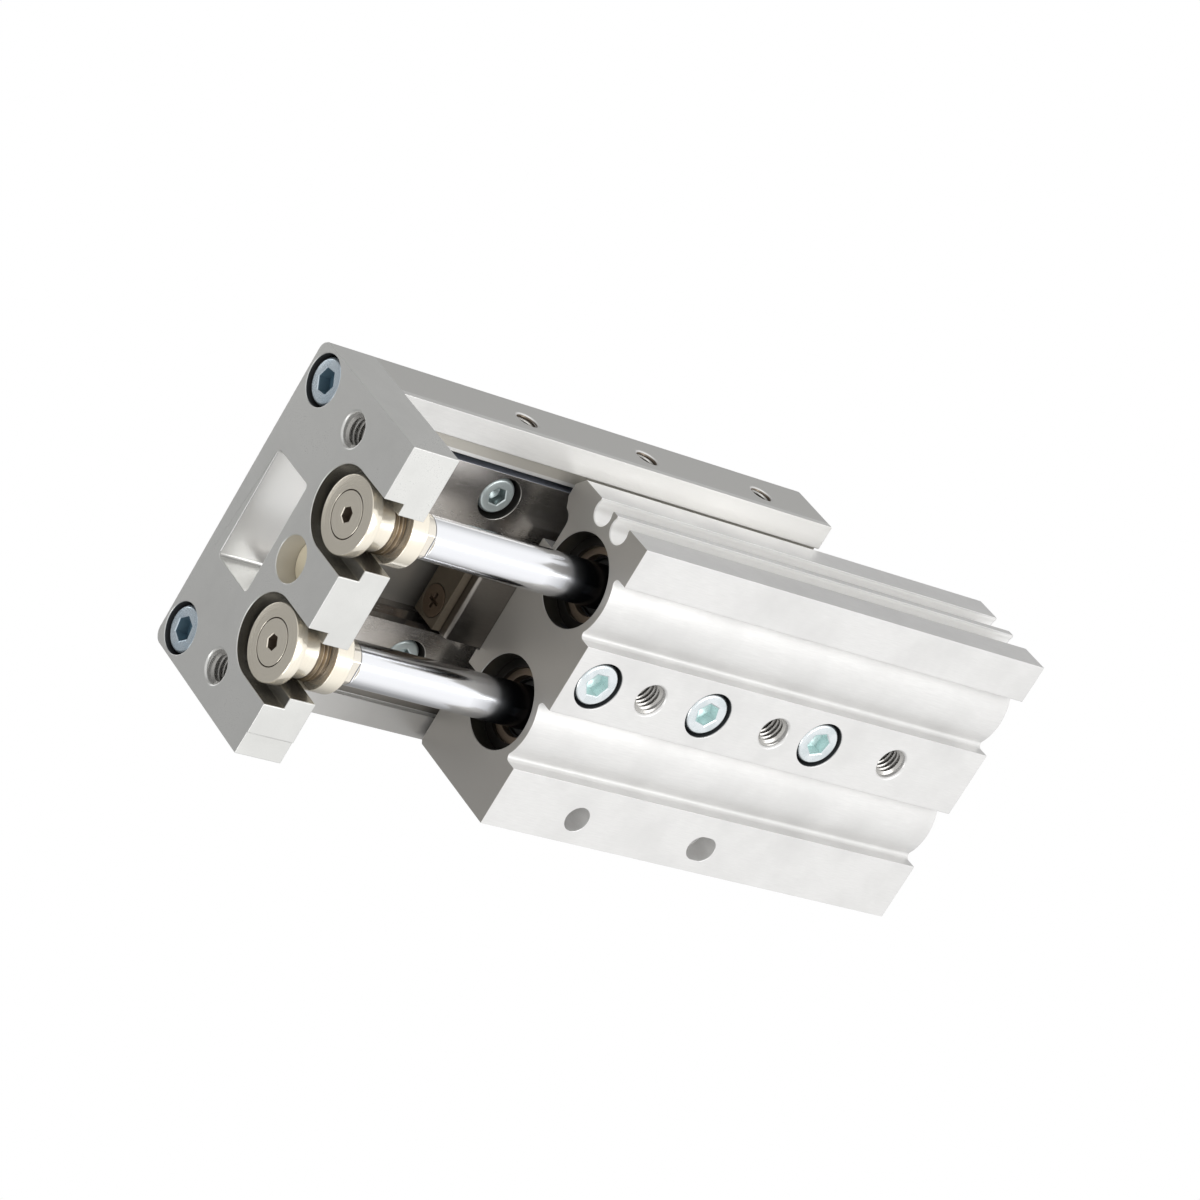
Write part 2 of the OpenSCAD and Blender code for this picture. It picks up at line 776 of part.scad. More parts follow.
module head_cap_o_rings() {
    color([0.08, 0.08, 0.08])
    at_rods() x_ring((cap_front + cap_back) / 2, bore_r - o_ring_d / 2 - seat_fit / 2,
        o_ring_d / 2 - seat_fit / 2);
}

module rear_retaining_rings() {
    color([0.20, 0.18, 0.16])
    at_rods() retaining_ring(cap_back - ring_t, bore_r + ring_groove_depth);
}

// ---- table side ----

module table_outline() {
    difference() {
        plate_outline(skirt_low_z);
        translate([-skirt_in, skirt_low_z - over])
            square([2 * skirt_in, rail_top_z - skirt_low_z + over]);
        translate([-skirt_in - skirt_step_w, skirt_low_z - over])
            square([2 * (skirt_in + skirt_step_w), skirt_step_h + over]);
    }
}

module table_plate() {
    top_y = skirt_in + top_hole_in;
    color([0.84, 0.85, 0.84])
    difference() {
        along_x(table_rear, plate_back) table_outline();
        for (i = [0 : 2])
            translate([plate_back - side_hole_x - i * side_hole_pitch, table_side,
                table_top_z - side_hole_drop])
                rotate([90, 0, 0]) tapped_hole(table_thread_d, table_thread_depth);
        for (i = [0 : 2], side = [right, left])
            translate([plate_back - top_hole_x - i * top_hole_pitch, side * top_y, table_top_z])
                rotate([180, 0, 0]) tapped_hole(table_thread_d, table_thread_depth);
        for (i = [0 : 1])
            translate([plate_back - top_hole_x - i * top_hole_pitch, 0, rail_top_z + 1])
                cylinder(d = table_dowel_d, h = table_t);
        for (side = [right, left]) {
            translate([plate_back, side * plate_screw_y,
                table_top_z - plate_screw_drop])
                rotate([0, -90, 0]) tapped_hole(screw_d + 2 * seat_fit, plate_screw_bite + over);
            for (x = rail_screw_xs)
                translate([x, side * (rail_in + rail_screw_edge), rail_top_z - over])
                    cylinder(d = rail_screw_d + 2 * seat_fit, h = rail_screw_bite + over + 0.2);
        }
    }
}

// The outline of one stepped slot, open at the bottom.
module slot_outline(w) {
    translate([0, rod_z + slot_rise]) circle(d = w);
    translate([-w / 2, plate_low_z - over]) square([w, rod_z + slot_rise - plate_low_z + over]);
}

module end_plate() {
    window_low = seat_z - window_low_gap;
    window_h = rail_top_z - window_low;
    color([0.70, 0.71, 0.70])
    difference() {
        along_x(plate_back + seat_fit, plate_front) plate_outline(plate_low_z);
        along_x(plate_back - over, plate_front + over)
            translate([0, window_low + window_h / 2]) round_rect(window_w, window_h, window_round);
        for (side = [right, left]) {
            along_x(plate_front - slot_step, plate_front + over)
                translate([side * rod_y, 0]) slot_outline(slot_w);
            along_x(plate_back - over, plate_front)
                translate([side * rod_y, 0]) slot_outline(slot_neck_w);
            translate([plate_front - plate_head_sink, side * plate_screw_y,
                table_top_z - plate_screw_drop])
                rotate([0, -90, 0]) cap_screw_hole(BODY_SCREW, plate_t, plate_head_sink);
            translate([plate_front, side * (rod_y + slot_w / 2 + plate_thread_in), plate_thread_z])
                rotate([0, -90, 0]) tapped_hole(mount_thread_d, plate_t + over);
        }
        translate([0, 0, damper_z]) x_bar(plate_back - over, plate_front + over, damper_d / 2 + seat_fit);
        along_x(plate_back - over, plate_front + over)
            translate([-table_side - over, plate_low_z - over])
                square([edge_relief_w + over, edge_relief + over]);
    }
}

module end_plate_screws() {
    color([0.74, 0.79, 0.84])
    for (side = [right, left])
        translate([plate_front - plate_head_sink, side * plate_screw_y,
            table_top_z - plate_screw_drop])
            rotate([0, -90, 0])
                cap_screw(BODY_SCREW, plate_t - plate_head_sink - screw_head_h + plate_screw_bite);
}

// A rail on one side, screwed up into the table.
module rail(side) {
    y0 = side > 0 ? rail_in : -rail_out;
    difference() {
        along_x(rail_rear, rail_front) difference() {
            translate([y0, rail_low_z]) square([rail_w, rail_h - seat_fit]);
            track_outline(side);
        }
        for (x = rail_screw_xs)
            translate([x, side * (rail_in + rail_screw_edge), rail_low_z + rail_head_sink])
                cap_screw_hole(RAIL_SCREW, rail_h, rail_head_sink);
    }
}

module left_rail() {
    color([0.36, 0.35, 0.34]) rail(left);
}

module right_rail() {
    color([0.36, 0.35, 0.34]) rail(right);
}

module rail_screws() {
    color([0.52, 0.58, 0.60])
    for (side = [right, left], x = rail_screw_xs)
        translate([x, side * (rail_in + rail_screw_edge), rail_low_z + rail_head_sink])
            cap_screw(RAIL_SCREW, rail_h - rail_head_sink - rail_screw_head_h + rail_screw_bite);
}

// Rod from the collar to the middle of its piston, with two flats behind the collar.
module piston_rod() {
    color([0.88, 0.89, 0.92])
    difference() {
        union() {
            x_bar(piston_front, collar_back - seat_fit, rod_d / 2);
            x_bar(piston_front - piston_spigot_len, collar_back + collar_t / 2, rod_spigot_d / 2);
        }
        for (turn = [0, 180]) rotate([turn, 0, 0])
            translate([flats_back, -rod_d, rod_flats / 2]) cube([rod_flats_len + over, 2 * rod_d, rod_d]);
    }
}

module left_piston_rod() {
    at_rod(left) piston_rod();
}

module right_piston_rod() {
    at_rod(right) piston_rod();
}

// Disc, neck and thread of one floating bush, with the stud's head and its socket.
module floating_bush() {
    neck_back = disc_back - neck_len;
    color([0.72, 0.68, 0.62])
    difference() {
        union() {
            x_bar(disc_back, disc_front, disc_d / 2);
            x_bar(neck_back, disc_back, neck_d / 2);
            x_bar(collar_front + seat_fit, neck_back, bush_thread_d / 2);
        }
        // groove around the stud's head
        x_tube(disc_front - 0.4, disc_front + over, stud_head_d / 2 + 0.2, stud_head_d / 2);
        translate([disc_front + over, 0, 0]) rotate([0, -90, 0]) hex_bar(stud_hex, 2 + over);
    }
}

module left_floating_bush() {
    at_rod(left) floating_bush();
}

module right_floating_bush() {
    at_rod(right) floating_bush();
}

// Collar screwed on the rod's end.
module rod_collar() {
    color([0.78, 0.75, 0.70])
    difference() {
        x_bar(collar_back, collar_front, collar_d / 2);
        x_bar(collar_back - over, collar_back + collar_t / 2 + seat_fit, rod_spigot_d / 2 + seat_fit);
    }
}

module left_rod_collar() {
    at_rod(left) rod_collar();
}

module right_rod_collar() {
    at_rod(right) rod_collar();
}

piston_seal_xs = [piston_front - piston_len * 0.22, piston_rear + piston_len * 0.22];
magnet_x = (piston_front + piston_rear) / 2;

module piston() {
    r = bore_r - running_play;
    color([0.66, 0.66, 0.66])
    difference() {
        x_bar(piston_rear, piston_front - seat_fit, r);
        for (x = piston_seal_xs)
            x_tube(x - seal_w / 2 - seat_fit, x + seal_w / 2 + seat_fit, r + over, r - seal_depth);
        x_tube(magnet_x - magnet_w / 2 - seat_fit, magnet_x + magnet_w / 2 + seat_fit, r + over,
            r - seal_depth);
        x_bar(piston_front - piston_spigot_len - seat_fit, piston_front + over,
            rod_spigot_d / 2 + seat_fit);
    }
}

module left_piston() {
    at_rod(left) piston();
}

module right_piston() {
    at_rod(right) piston();
}

module piston_seals() {
    color([0.07, 0.07, 0.07])
    at_rods() for (x = piston_seal_xs)
        x_tube(x - seal_w / 2, x + seal_w / 2, bore_r - running_play, bore_r - running_play - seal_depth
            + seat_fit);
}

module piston_magnets() {
    color([0.22, 0.22, 0.24])
    at_rods()
        x_tube(magnet_x - magnet_w / 2, magnet_x + magnet_w / 2, bore_r - running_play - 0.3,
            bore_r - running_play - seal_depth + seat_fit);
}

module end_damper() {
    color([0.80, 0.76, 0.64])
    translate([0, 0, damper_z])
        x_bar(plate_back - home_gap + damper_gap, plate_front - damper_sink, damper_d / 2);
}

// ---- roller cages ----

// One roller, enlarged by gap, tilted one way or the other by its number.
module roller(side, i, gap) {
    lean = i % 2 == 0 ? 45 : -45;
    translate([cage_centre + (i - (roller_count - 1) / 2) * roller_pitch, side * track_y, track_z])
        rotate([lean, 0, 0])
            cylinder(r = roller_d / 2 + gap, h = roller_d - 0.06 + 2 * gap, center = true, $fn = 48);
}

module rollers(side) {
    color([0.75, 0.76, 0.78])
    for (i = [0 : roller_count - 1]) roller(side, i, 0);
}

module roller_cage(side) {
    len = roller_count * roller_pitch + 1.4;
    color([0.55, 0.48, 0.30])
    difference() {
        translate([cage_centre - len / 2, side * track_y - cage_t / 2, track_z - cage_h / 2])
            cube([len, cage_t, cage_h]);
        for (i = [0 : roller_count - 1]) roller(side, i, pocket_gap);
    }
}

module left_roller_cage() {
    roller_cage(left);
}

module right_roller_cage() {
    roller_cage(right);
}

module left_rollers() {
    rollers(left);
}

module right_rollers() {
    rollers(right);
}

body_housing();
guide_block();
guide_block_screws();
front_stop_plate();
rear_stop_plate();
stop_plate_screws();
left_rod_guide();
right_rod_guide();
rod_seals();
rod_guide_o_rings();
front_retaining_rings();
left_head_cap();
right_head_cap();
head_cap_o_rings();
rear_retaining_rings();
table_plate();
end_plate();
end_plate_screws();
left_rail();
right_rail();
rail_screws();
left_piston_rod();
right_piston_rod();
left_floating_bush();
right_floating_bush();
left_rod_collar();
right_rod_collar();
left_piston();
right_piston();
piston_seals();
piston_magnets();
end_damper();
left_roller_cage();
right_roller_cage();
left_rollers();
right_rollers();
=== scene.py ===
"""Pneumatic slide table: finished surfaces, materials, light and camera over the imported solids.

Row frame in metres: the mounting face is Z = 0, the body's front is X = 0, the table travels along X.
"""
import json
import math
import bmesh
import bpy
import numpy as np
from mathutils import Matrix, Vector

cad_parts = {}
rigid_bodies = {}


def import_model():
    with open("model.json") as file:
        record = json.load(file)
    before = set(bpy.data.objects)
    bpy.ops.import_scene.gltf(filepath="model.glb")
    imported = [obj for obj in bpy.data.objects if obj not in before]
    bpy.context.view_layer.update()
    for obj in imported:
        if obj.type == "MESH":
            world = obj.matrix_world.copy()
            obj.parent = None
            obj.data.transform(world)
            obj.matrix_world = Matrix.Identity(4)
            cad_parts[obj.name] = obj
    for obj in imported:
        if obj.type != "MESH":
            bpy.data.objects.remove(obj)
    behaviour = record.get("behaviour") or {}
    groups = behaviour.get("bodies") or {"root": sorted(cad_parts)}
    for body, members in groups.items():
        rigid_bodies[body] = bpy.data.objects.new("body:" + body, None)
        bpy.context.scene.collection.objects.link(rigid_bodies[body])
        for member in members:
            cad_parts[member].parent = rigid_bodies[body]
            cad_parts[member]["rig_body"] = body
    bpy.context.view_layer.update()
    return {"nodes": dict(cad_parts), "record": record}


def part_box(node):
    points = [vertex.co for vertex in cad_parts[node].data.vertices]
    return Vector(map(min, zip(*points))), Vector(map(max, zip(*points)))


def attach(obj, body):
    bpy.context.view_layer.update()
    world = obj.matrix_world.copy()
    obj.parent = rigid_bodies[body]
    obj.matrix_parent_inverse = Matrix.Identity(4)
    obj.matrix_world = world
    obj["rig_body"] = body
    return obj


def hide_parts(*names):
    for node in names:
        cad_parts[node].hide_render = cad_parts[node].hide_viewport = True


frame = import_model()
NODES = frame["nodes"]
SLOTS = {s["node"]: s["material_slot"] for s in frame["record"]["subparts"]}
MM = 0.001
X, Y, Z = 0, 1, 2


# ---------------------------------------------------------------- sizes read from the solids, in mm

def low(node):
    return np.array(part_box(node)[0]) / MM


def high(node):
    return np.array(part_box(node)[1]) / MM


def span(node, axis):
    """Lower and upper end of a node along an axis."""
    return float(low(node)[axis]), float(high(node)[axis])


def centre(node, axis):
    return sum(span(node, axis)) / 2


ROD_Y, ROD_Z = centre("left_piston_rod", Y), centre("left_piston_rod", Z)
BODY_REAR = span("body_housing", X)[0]
BODY_RIGHT, BODY_LEFT = span("body_housing", Y)
TABLE_BACK, TABLE_FRONT = span("table_plate", X)
TABLE_SIDE = span("table_plate", Y)[1]
TABLE_LOW, TABLE_TOP = span("table_plate", Z)
PLATE_BACK, PLATE_FRONT = span("end_plate", X)
PLATE_LOW = span("end_plate", Z)[0]
RAIL_BACK, RAIL_FRONT = span("left_rail", X)
RAIL_IN, RAIL_OUT = span("left_rail", Y)
RAIL_LOW, RAIL_TOP = span("left_rail", Z)
COLLAR_BACK, COLLAR_FRONT = span("left_rod_collar", X)
BUSH_FRONT = span("left_floating_bush", X)[1]
BUSH_R = span("left_floating_bush", Y)[1] - ROD_Y
DAMPER_Z = centre("end_damper", Z)


# ---------------------------------------------------------------- shapes

WELD = 2e-6  # points of a solid closer than this, in metres, are one


def ring_faces(rings):
    """Points of a row of closed rings, and the four-sided faces between each ring and the next."""
    count, sides = rings.shape[:2]
    ring, point = np.meshgrid(np.arange(count - 1), np.arange(sides), indexing="ij")
    here, beside = ring * sides + point, ring * sides + (point + 1) % sides
    return rings.reshape(-1, 3), np.stack([here, here + sides, beside + sides, beside], -1).reshape(-1, 4)


def across(axis):
    """Two unit directions square to an axis, so that first x second = axis."""
    axis = np.asarray(axis, float)
    first = np.array([0.0, 0.0, 1.0]) if abs(axis[2]) < 0.9 else np.array([0.0, 1.0, 0.0])
    first = first - axis * first.dot(axis)
    first /= np.linalg.norm(first)
    return first, np.cross(axis, first)


def turned(origin, axis, rows, sides=96, turn=0.0):
    """A turned surface. Each row is (way along the axis, radius, corners): at angle a the point lies the radius from
    the axis, or with 6 corners at apothem / cos(a - middle of its flat), so a row can be a circle or a hexagon."""
    first, second = across(axis)
    a = np.linspace(0, 2 * math.pi, sides, endpoint=False)
    flat = (a % (math.pi / 3)) - math.pi / 6
    s = np.array([r[0] for r in rows])[:, None]
    radius = np.array([r[1] for r in rows])[:, None] * np.ones(sides)
    hexed = np.array([len(r) > 2 and r[2] == 6 for r in rows])[:, None]
    radius = np.where(hexed, radius / np.cos(flat), radius)
    ring = np.cos(a + turn)[None, :, None] * first + np.sin(a + turn)[None, :, None] * second
    points = np.asarray(origin, float) + s[..., None] * np.asarray(axis, float) + radius[..., None] * ring
    return ring_faces(points)


def thread_ridge(origin, axis, radius, depth, pitch, length, sides=40, start=0.0):
    """One ridge of a thread, a blunt wedge carried along a helix: after t turns it is t times the pitch along the
    axis. Its root lies on the radius and its crest depth further out (or inward for a negative depth), and it runs
    out to a point over the first and last third of a turn."""
    first, second = across(axis)
    root, crest = 0.44 * pitch, 0.07 * pitch  # half widths of the wedge
    buried = -0.06 * np.sign(depth)  # mm that the root reaches into the wall
    run_out = 0.34  # turns
    first_turn = 0.45 * pitch  # way along the axis to the first turn's middle
    turns = (length - 2 * first_turn) / pitch
    t = np.linspace(0, turns, max(8, int(turns * sides)))
    fade = np.clip(np.minimum(t, turns - t) / run_out, 0, 1)[:, None]
    along = np.array([-root, -crest, crest, root])
    out = np.array([buried, depth, depth, buried])
    a = 2 * math.pi * t + start
    r = radius + out[None, :] * fade
    s = first_turn + (t * pitch)[:, None] + along[None, :] * fade
    ring = np.cos(a)[:, None, None] * first + np.sin(a)[:, None, None] * second
    points = np.asarray(origin, float) + s[..., None] * np.asarray(axis, float) + r[..., None] * ring
    return ring_faces(points)


def joined(parts):
    """Several (points, faces) pairs as one."""
    points, faces, n = [], [], 0
    for p, f in parts:
        points.append(p)
        faces.append(f + n)
        n += len(p)
    return np.concatenate(points), np.concatenate(faces)


def sharpen(mesh, angle):
    """Smooth faces, with a crisp edge wherever two of them meet at more than the angle."""
    mesh.polygons.foreach_set("use_smooth", np.ones(len(mesh.polygons), bool))
    mesh.set_sharp_from_angle(angle=math.radians(angle))


def add_piece(name, parts, material, body, replaced=(), angle=28, second=None):
    """Makes a mesh piece from (points in mm, faces) parts, closes its seams and poles, and hands it to its body. Edges
    above the angle in degrees stay crisp. The second is a (material, parts) pair for its parts of another material."""
    points, faces = joined(list(parts) + (list(second[1]) if second else []))
    mesh = bpy.data.meshes.new(name)
    mesh.from_pydata((points * MM).tolist(), [], faces.tolist())
    first_faces = sum(len(f) for p, f in parts)
    mesh.polygons.foreach_set("material_index", (np.arange(len(faces)) >= first_faces).astype(np.int32))
    bm = bmesh.new()
    bm.from_mesh(mesh)
    bmesh.ops.remove_doubles(bm, verts=bm.verts, dist=1e-7)
    bmesh.ops.dissolve_degenerate(bm, edges=bm.edges, dist=1e-8)
    bmesh.ops.recalc_face_normals(bm, faces=bm.faces)
    bm.to_mesh(mesh)
    bm.free()
    sharpen(mesh, angle)
    mesh.materials.append(material)
    if second:
        mesh.materials.append(second[0])
    piece = bpy.data.objects.new(name, mesh)
    bpy.context.scene.collection.objects.link(piece)
    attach(piece, body)
    if replaced:
        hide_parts(*replaced)
    return piece


def rounded(node, width, material):
    """A finished copy of a solid: its triangles are merged into whole faces, and each sharp edge gets a small round of
    the given width in mm."""
    flat, sharp = math.radians(0.4), math.radians(32)
    bm = bmesh.new()
    bm.from_mesh(NODES[node].data)
    bmesh.ops.remove_doubles(bm, verts=bm.verts, dist=WELD)
    bmesh.ops.dissolve_limit(bm, angle_limit=flat, verts=bm.verts, edges=bm.edges, delimit=set())
    edges = [e for e in bm.edges if e.is_manifold and e.calc_face_angle(0) > sharp]
    bmesh.ops.bevel(bm, geom=edges, offset=width * MM, offset_type="OFFSET", segments=2, profile=0.5,
                    affect="EDGES", clamp_overlap=False, loop_slide=True, miter_outer="SHARP")
    mesh = bpy.data.meshes.new("rounded_" + node)
    bm.to_mesh(mesh)
    bm.free()
    sharpen(mesh, 50)
    mesh.materials.clear()
    mesh.materials.append(material)
    piece = bpy.data.objects.new("rounded_" + node, mesh)
    bpy.context.scene.collection.objects.link(piece)
    even = piece.modifiers.new("even_normals", "WEIGHTED_NORMAL")
    even.mode = "FACE_AREA"
    even.weight = 50
    even.keep_sharp = True
    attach(piece, NODES[node]["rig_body"])
    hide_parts(node)
    return piece


# ---------------------------------------------------------------- shared material effects

def new_group(name, inputs, outputs):
    tree = bpy.data.node_groups.new(name, "ShaderNodeTree")
    for label, value in inputs:
        socket = tree.interface.new_socket(name=label, in_out="INPUT", socket_type="NodeSocketFloat")
        socket.default_value = value
    for label in outputs:
        tree.interface.new_socket(name=label, in_out="OUTPUT", socket_type="NodeSocketFloat")
    return tree, tree.nodes.new("NodeGroupInput"), tree.nodes.new("NodeGroupOutput")


def maths(tree, operation, a, b=None, clamp=False):
    node = tree.nodes.new("ShaderNodeMath")
    node.operation = operation
    node.use_clamp = clamp
    for socket, value in zip(node.inputs, (a, b)):
        if value is None:
            continue
        if isinstance(value, (int, float)):
            socket.default_value = value
        else:
            tree.links.new(value, socket)
    return node.outputs[0]


def combined(tree, x, y, z):
    node = tree.nodes.new("ShaderNodeCombineXYZ")
    for socket, value in zip(node.inputs, (x, y, z)):
        if isinstance(value, (int, float)):
            socket.default_value = value
        else:
            tree.links.new(value, socket)
    return node.outputs[0]


def object_xyz(tree):
    place = tree.nodes.new("ShaderNodeTexCoord")
    parts = tree.nodes.new("ShaderNodeSeparateXYZ")
    tree.links.new(place.outputs["Object"], parts.inputs[0])
    return parts.outputs


def noise(tree, vector, detail=4.0, roughness=0.6):
    node = tree.nodes.new("ShaderNodeTexNoise")
    node.inputs["Scale"].default_value = 1.0
    node.inputs["Detail"].default_value = detail
    node.inputs["Roughness"].default_value = roughness
    tree.links.new(vector, node.inputs["Vector"])
    return node.outputs["Fac"]


def make_grain_group():
    """Fine grain: noise whose spots are 1 / Per metre long, drawn out along X by Streak, as a value about 0.5."""
    tree, start, end = new_group("fine_grain", [("Per metre", 6000.0), ("Streak", 1.0)], ["Grain"])
    x, y, z = object_xyz(tree)
    size = start.outputs["Per metre"]
    vector = combined(tree, maths(tree, "DIVIDE", maths(tree, "MULTIPLY", x, size), start.outputs["Streak"]),
                      maths(tree, "MULTIPLY", y, size), maths(tree, "MULTIPLY", z, size))
    tree.links.new(noise(tree, vector), end.inputs["Grain"])
    return tree


def make_patch_group():
    """Wide soft patches: noise of the given size, pushed through a threshold with soft edges, from 0 to 1."""
    tree, start, end = new_group("soft_patches", [("Per metre", 60.0), ("Amount", 0.5), ("Edge", 0.2)], ["Patch"])
    x, y, z = object_xyz(tree)
    size = start.outputs["Per metre"]
    vector = combined(tree, maths(tree, "MULTIPLY", x, size), maths(tree, "MULTIPLY", y, size),
                      maths(tree, "MULTIPLY", z, size))
    threshold = maths(tree, "SUBTRACT", 1.0, start.outputs["Amount"])
    value = maths(tree, "SUBTRACT", noise(tree, vector, 5.0, 0.55), threshold)
    tree.links.new(maths(tree, "ADD", maths(tree, "DIVIDE", value, start.outputs["Edge"]), 0.5, clamp=True),
                   end.inputs["Patch"])
    return tree


def distance_to_line(tree, start, y, z):
    """Distance to a line along X through the group's Centre Y and Centre Z, on both sides of the middle plane."""
    dy = maths(tree, "SUBTRACT", maths(tree, "ABSOLUTE", y), start.outputs["Centre Y"])
    dz = maths(tree, "SUBTRACT", z, start.outputs["Centre Z"])
    return maths(tree, "SQRT", maths(tree, "ADD", maths(tree, "MULTIPLY", dy, dy), maths(tree, "MULTIPLY", dz, dz)))


def make_turning_group():
    """Turning marks: noise along the distance from a rod's axis and along X, so faces show rings and bars show lines
    round them."""
    tree, start, end = new_group("turning_marks", [("Per metre", 9000.0), ("Centre Y", 0.013), ("Centre Z", 0.0118)],
                                 ["Marks"])
    x, y, z = object_xyz(tree)
    r = distance_to_line(tree, start, y, z)
    size = start.outputs["Per metre"]
    vector = combined(tree, maths(tree, "MULTIPLY", r, size), maths(tree, "MULTIPLY", x, size), 0.0)
    tree.links.new(noise(tree, vector, 2.0, 0.5), end.inputs["Marks"])
    return tree


def make_line_group():
    """1 closer to a line along X than Radius, and 0 outside, with a soft edge as wide as Edge."""
    tree, start, end = new_group("near_line", [("Centre Y", 0.013), ("Centre Z", 0.0118), ("Radius", 0.008),
                                               ("Edge", 0.0001)], ["Inside"])
    x, y, z = object_xyz(tree)
    left_over = maths(tree, "SUBTRACT", start.outputs["Radius"], distance_to_line(tree, start, y, z))
    tree.links.new(maths(tree, "DIVIDE", left_over, start.outputs["Edge"], clamp=True), end.inputs["Inside"])
    return tree


def make_box_group():
    """1 inside a box given by its middle and half sizes, and 0 outside, with a soft edge as wide as Edge, or as Fade X
    along X. With Mirror at 1 the box also stands on the other side of the middle plane."""
    labels = ("X", "Y", "Z")
    inputs = [("Middle " + a, 0.0) for a in labels] + [("Half " + a, 1.0) for a in labels]
    inputs += [("Edge", 0.0001), ("Fade X", 0.0001), ("Mirror", 1.0)]
    tree, start, end = new_group("inside_box", inputs, ["Inside"])
    x, y, z = object_xyz(tree)
    folded = maths(tree, "SUBTRACT", maths(tree, "ABSOLUTE", y), y)
    y = maths(tree, "ADD", y, maths(tree, "MULTIPLY", folded, start.outputs["Mirror"]))
    inside = 1.0
    for label, value in zip(labels, (x, y, z)):
        away = maths(tree, "ABSOLUTE", maths(tree, "SUBTRACT", value, start.outputs["Middle " + label]))
        left_over = maths(tree, "SUBTRACT", start.outputs["Half " + label], away)
        soft = start.outputs["Fade X" if label == "X" else "Edge"]
        one = maths(tree, "DIVIDE", left_over, soft, clamp=True)
        inside = maths(tree, "MULTIPLY", one, inside)
    tree.links.new(inside, end.inputs["Inside"])
    return tree


GRAIN = make_grain_group()
PATCHES = make_patch_group()
TURNING = make_turning_group()
NEAR_LINE = make_line_group()
INSIDE_BOX = make_box_group()


def place_group(tree, group, **values):
    node = tree.nodes.new("ShaderNodeGroup")
    node.node_tree = group
    for label, value in values.items():
        node.inputs[label.replace("_", " ")].default_value = value
    return node.outputs[0]


MIX_FIRST, MIX_SECOND, MIX_RESULT = 6, 7, 2  # colour sockets of a mix node
NOISE_RANGE = (0.25, 0.75)  # nearly all of a noise lies in it


def shade_between(tree, mask, dark, bright):
    node = tree.nodes.new("ShaderNodeMix")
    node.data_type = "RGBA"
    tree.links.new(mask, node.inputs[0])
    node.inputs[MIX_FIRST].default_value = (*dark, 1)
    node.inputs[MIX_SECOND].default_value = (*bright, 1)
    return node.outputs[MIX_RESULT]


def value_between(tree, marks, lowest, highest):
    """A noise spread out from the lowest value to the highest."""
    node = tree.nodes.new("ShaderNodeMapRange")
    tree.links.new(marks, node.inputs["Value"])
    node.inputs["From Min"].default_value, node.inputs["From Max"].default_value = NOISE_RANGE
    node.inputs["To Min"].default_value = lowest
    node.inputs["To Max"].default_value = highest
    return node.outputs["Result"]


EVERYWHERE = (-500, 500)


def zone(colour, roughness, metallic, x=EVERYWHERE, y=EVERYWHERE, z=EVERYWHERE, line=None, edge=0.1, fade_x=None,
         mirror=True, amount=1.0, speckle=None):
    """A part of a material with its own colour, roughness and metallic: a box between two values in mm each way, and
    with a line (Y, Z, radius) only that close to it. It fades in over the edge, or along X over its own length. A
    mirrored one is on both sides, and a speckled one is broken up into so many spots per metre."""
    return {"colour": colour, "roughness": roughness, "metallic": metallic, "box": (x, y, z), "line": line,
            "edge": edge, "fade_x": fade_x or edge, "mirror": mirror, "amount": amount, "speckle": speckle}


def zone_mask(tree, part):
    middle = [(a + b) / 2 * MM for a, b in part["box"]]
    half = [(b - a) / 2 * MM for a, b in part["box"]]
    values = {f"Middle_{label}": v for label, v in zip("XYZ", middle)}
    values.update({f"Half_{label}": v for label, v in zip("XYZ", half)})
    mask = place_group(tree, INSIDE_BOX, Edge=part["edge"] * MM, Fade_X=part["fade_x"] * MM,
                       Mirror=float(part["mirror"]), **values)
    if part["line"]:
        y, z, radius = part["line"]
        near = place_group(tree, NEAR_LINE, Centre_Y=y * MM, Centre_Z=z * MM, Radius=radius * MM,
                           Edge=part["edge"] * MM)
        mask = maths(tree, "MULTIPLY", mask, near)
    if part["speckle"]:
        spots = place_group(tree, PATCHES, Per_metre=part["speckle"], Amount=0.5, Edge=0.12)
        mask = maths(tree, "MULTIPLY", mask, spots)
    return maths(tree, "MULTIPLY", mask, part["amount"])


def laid_over(tree, mask, under, colour):
    """The colour underneath, covered by another one as far as the mask says."""
    node = tree.nodes.new("ShaderNodeMix")
    node.data_type = "RGBA"
    tree.links.new(mask, node.inputs[0])
    tree.links.new(under, node.inputs[MIX_FIRST])
    node.inputs[MIX_SECOND].default_value = (*colour, 1)
    return node.outputs[MIX_RESULT]


def moved_to(tree, mask, under, value):
    """The value underneath, moved to another one as far as the mask says."""
    return maths(tree, "ADD", under, maths(tree, "MULTIPLY", mask, maths(tree, "SUBTRACT", value, under)))


BUMP_DEPTH = 0.02 * MM
PATCH_DARKER, PATCH_ROUGHER = 0.88, 0.08


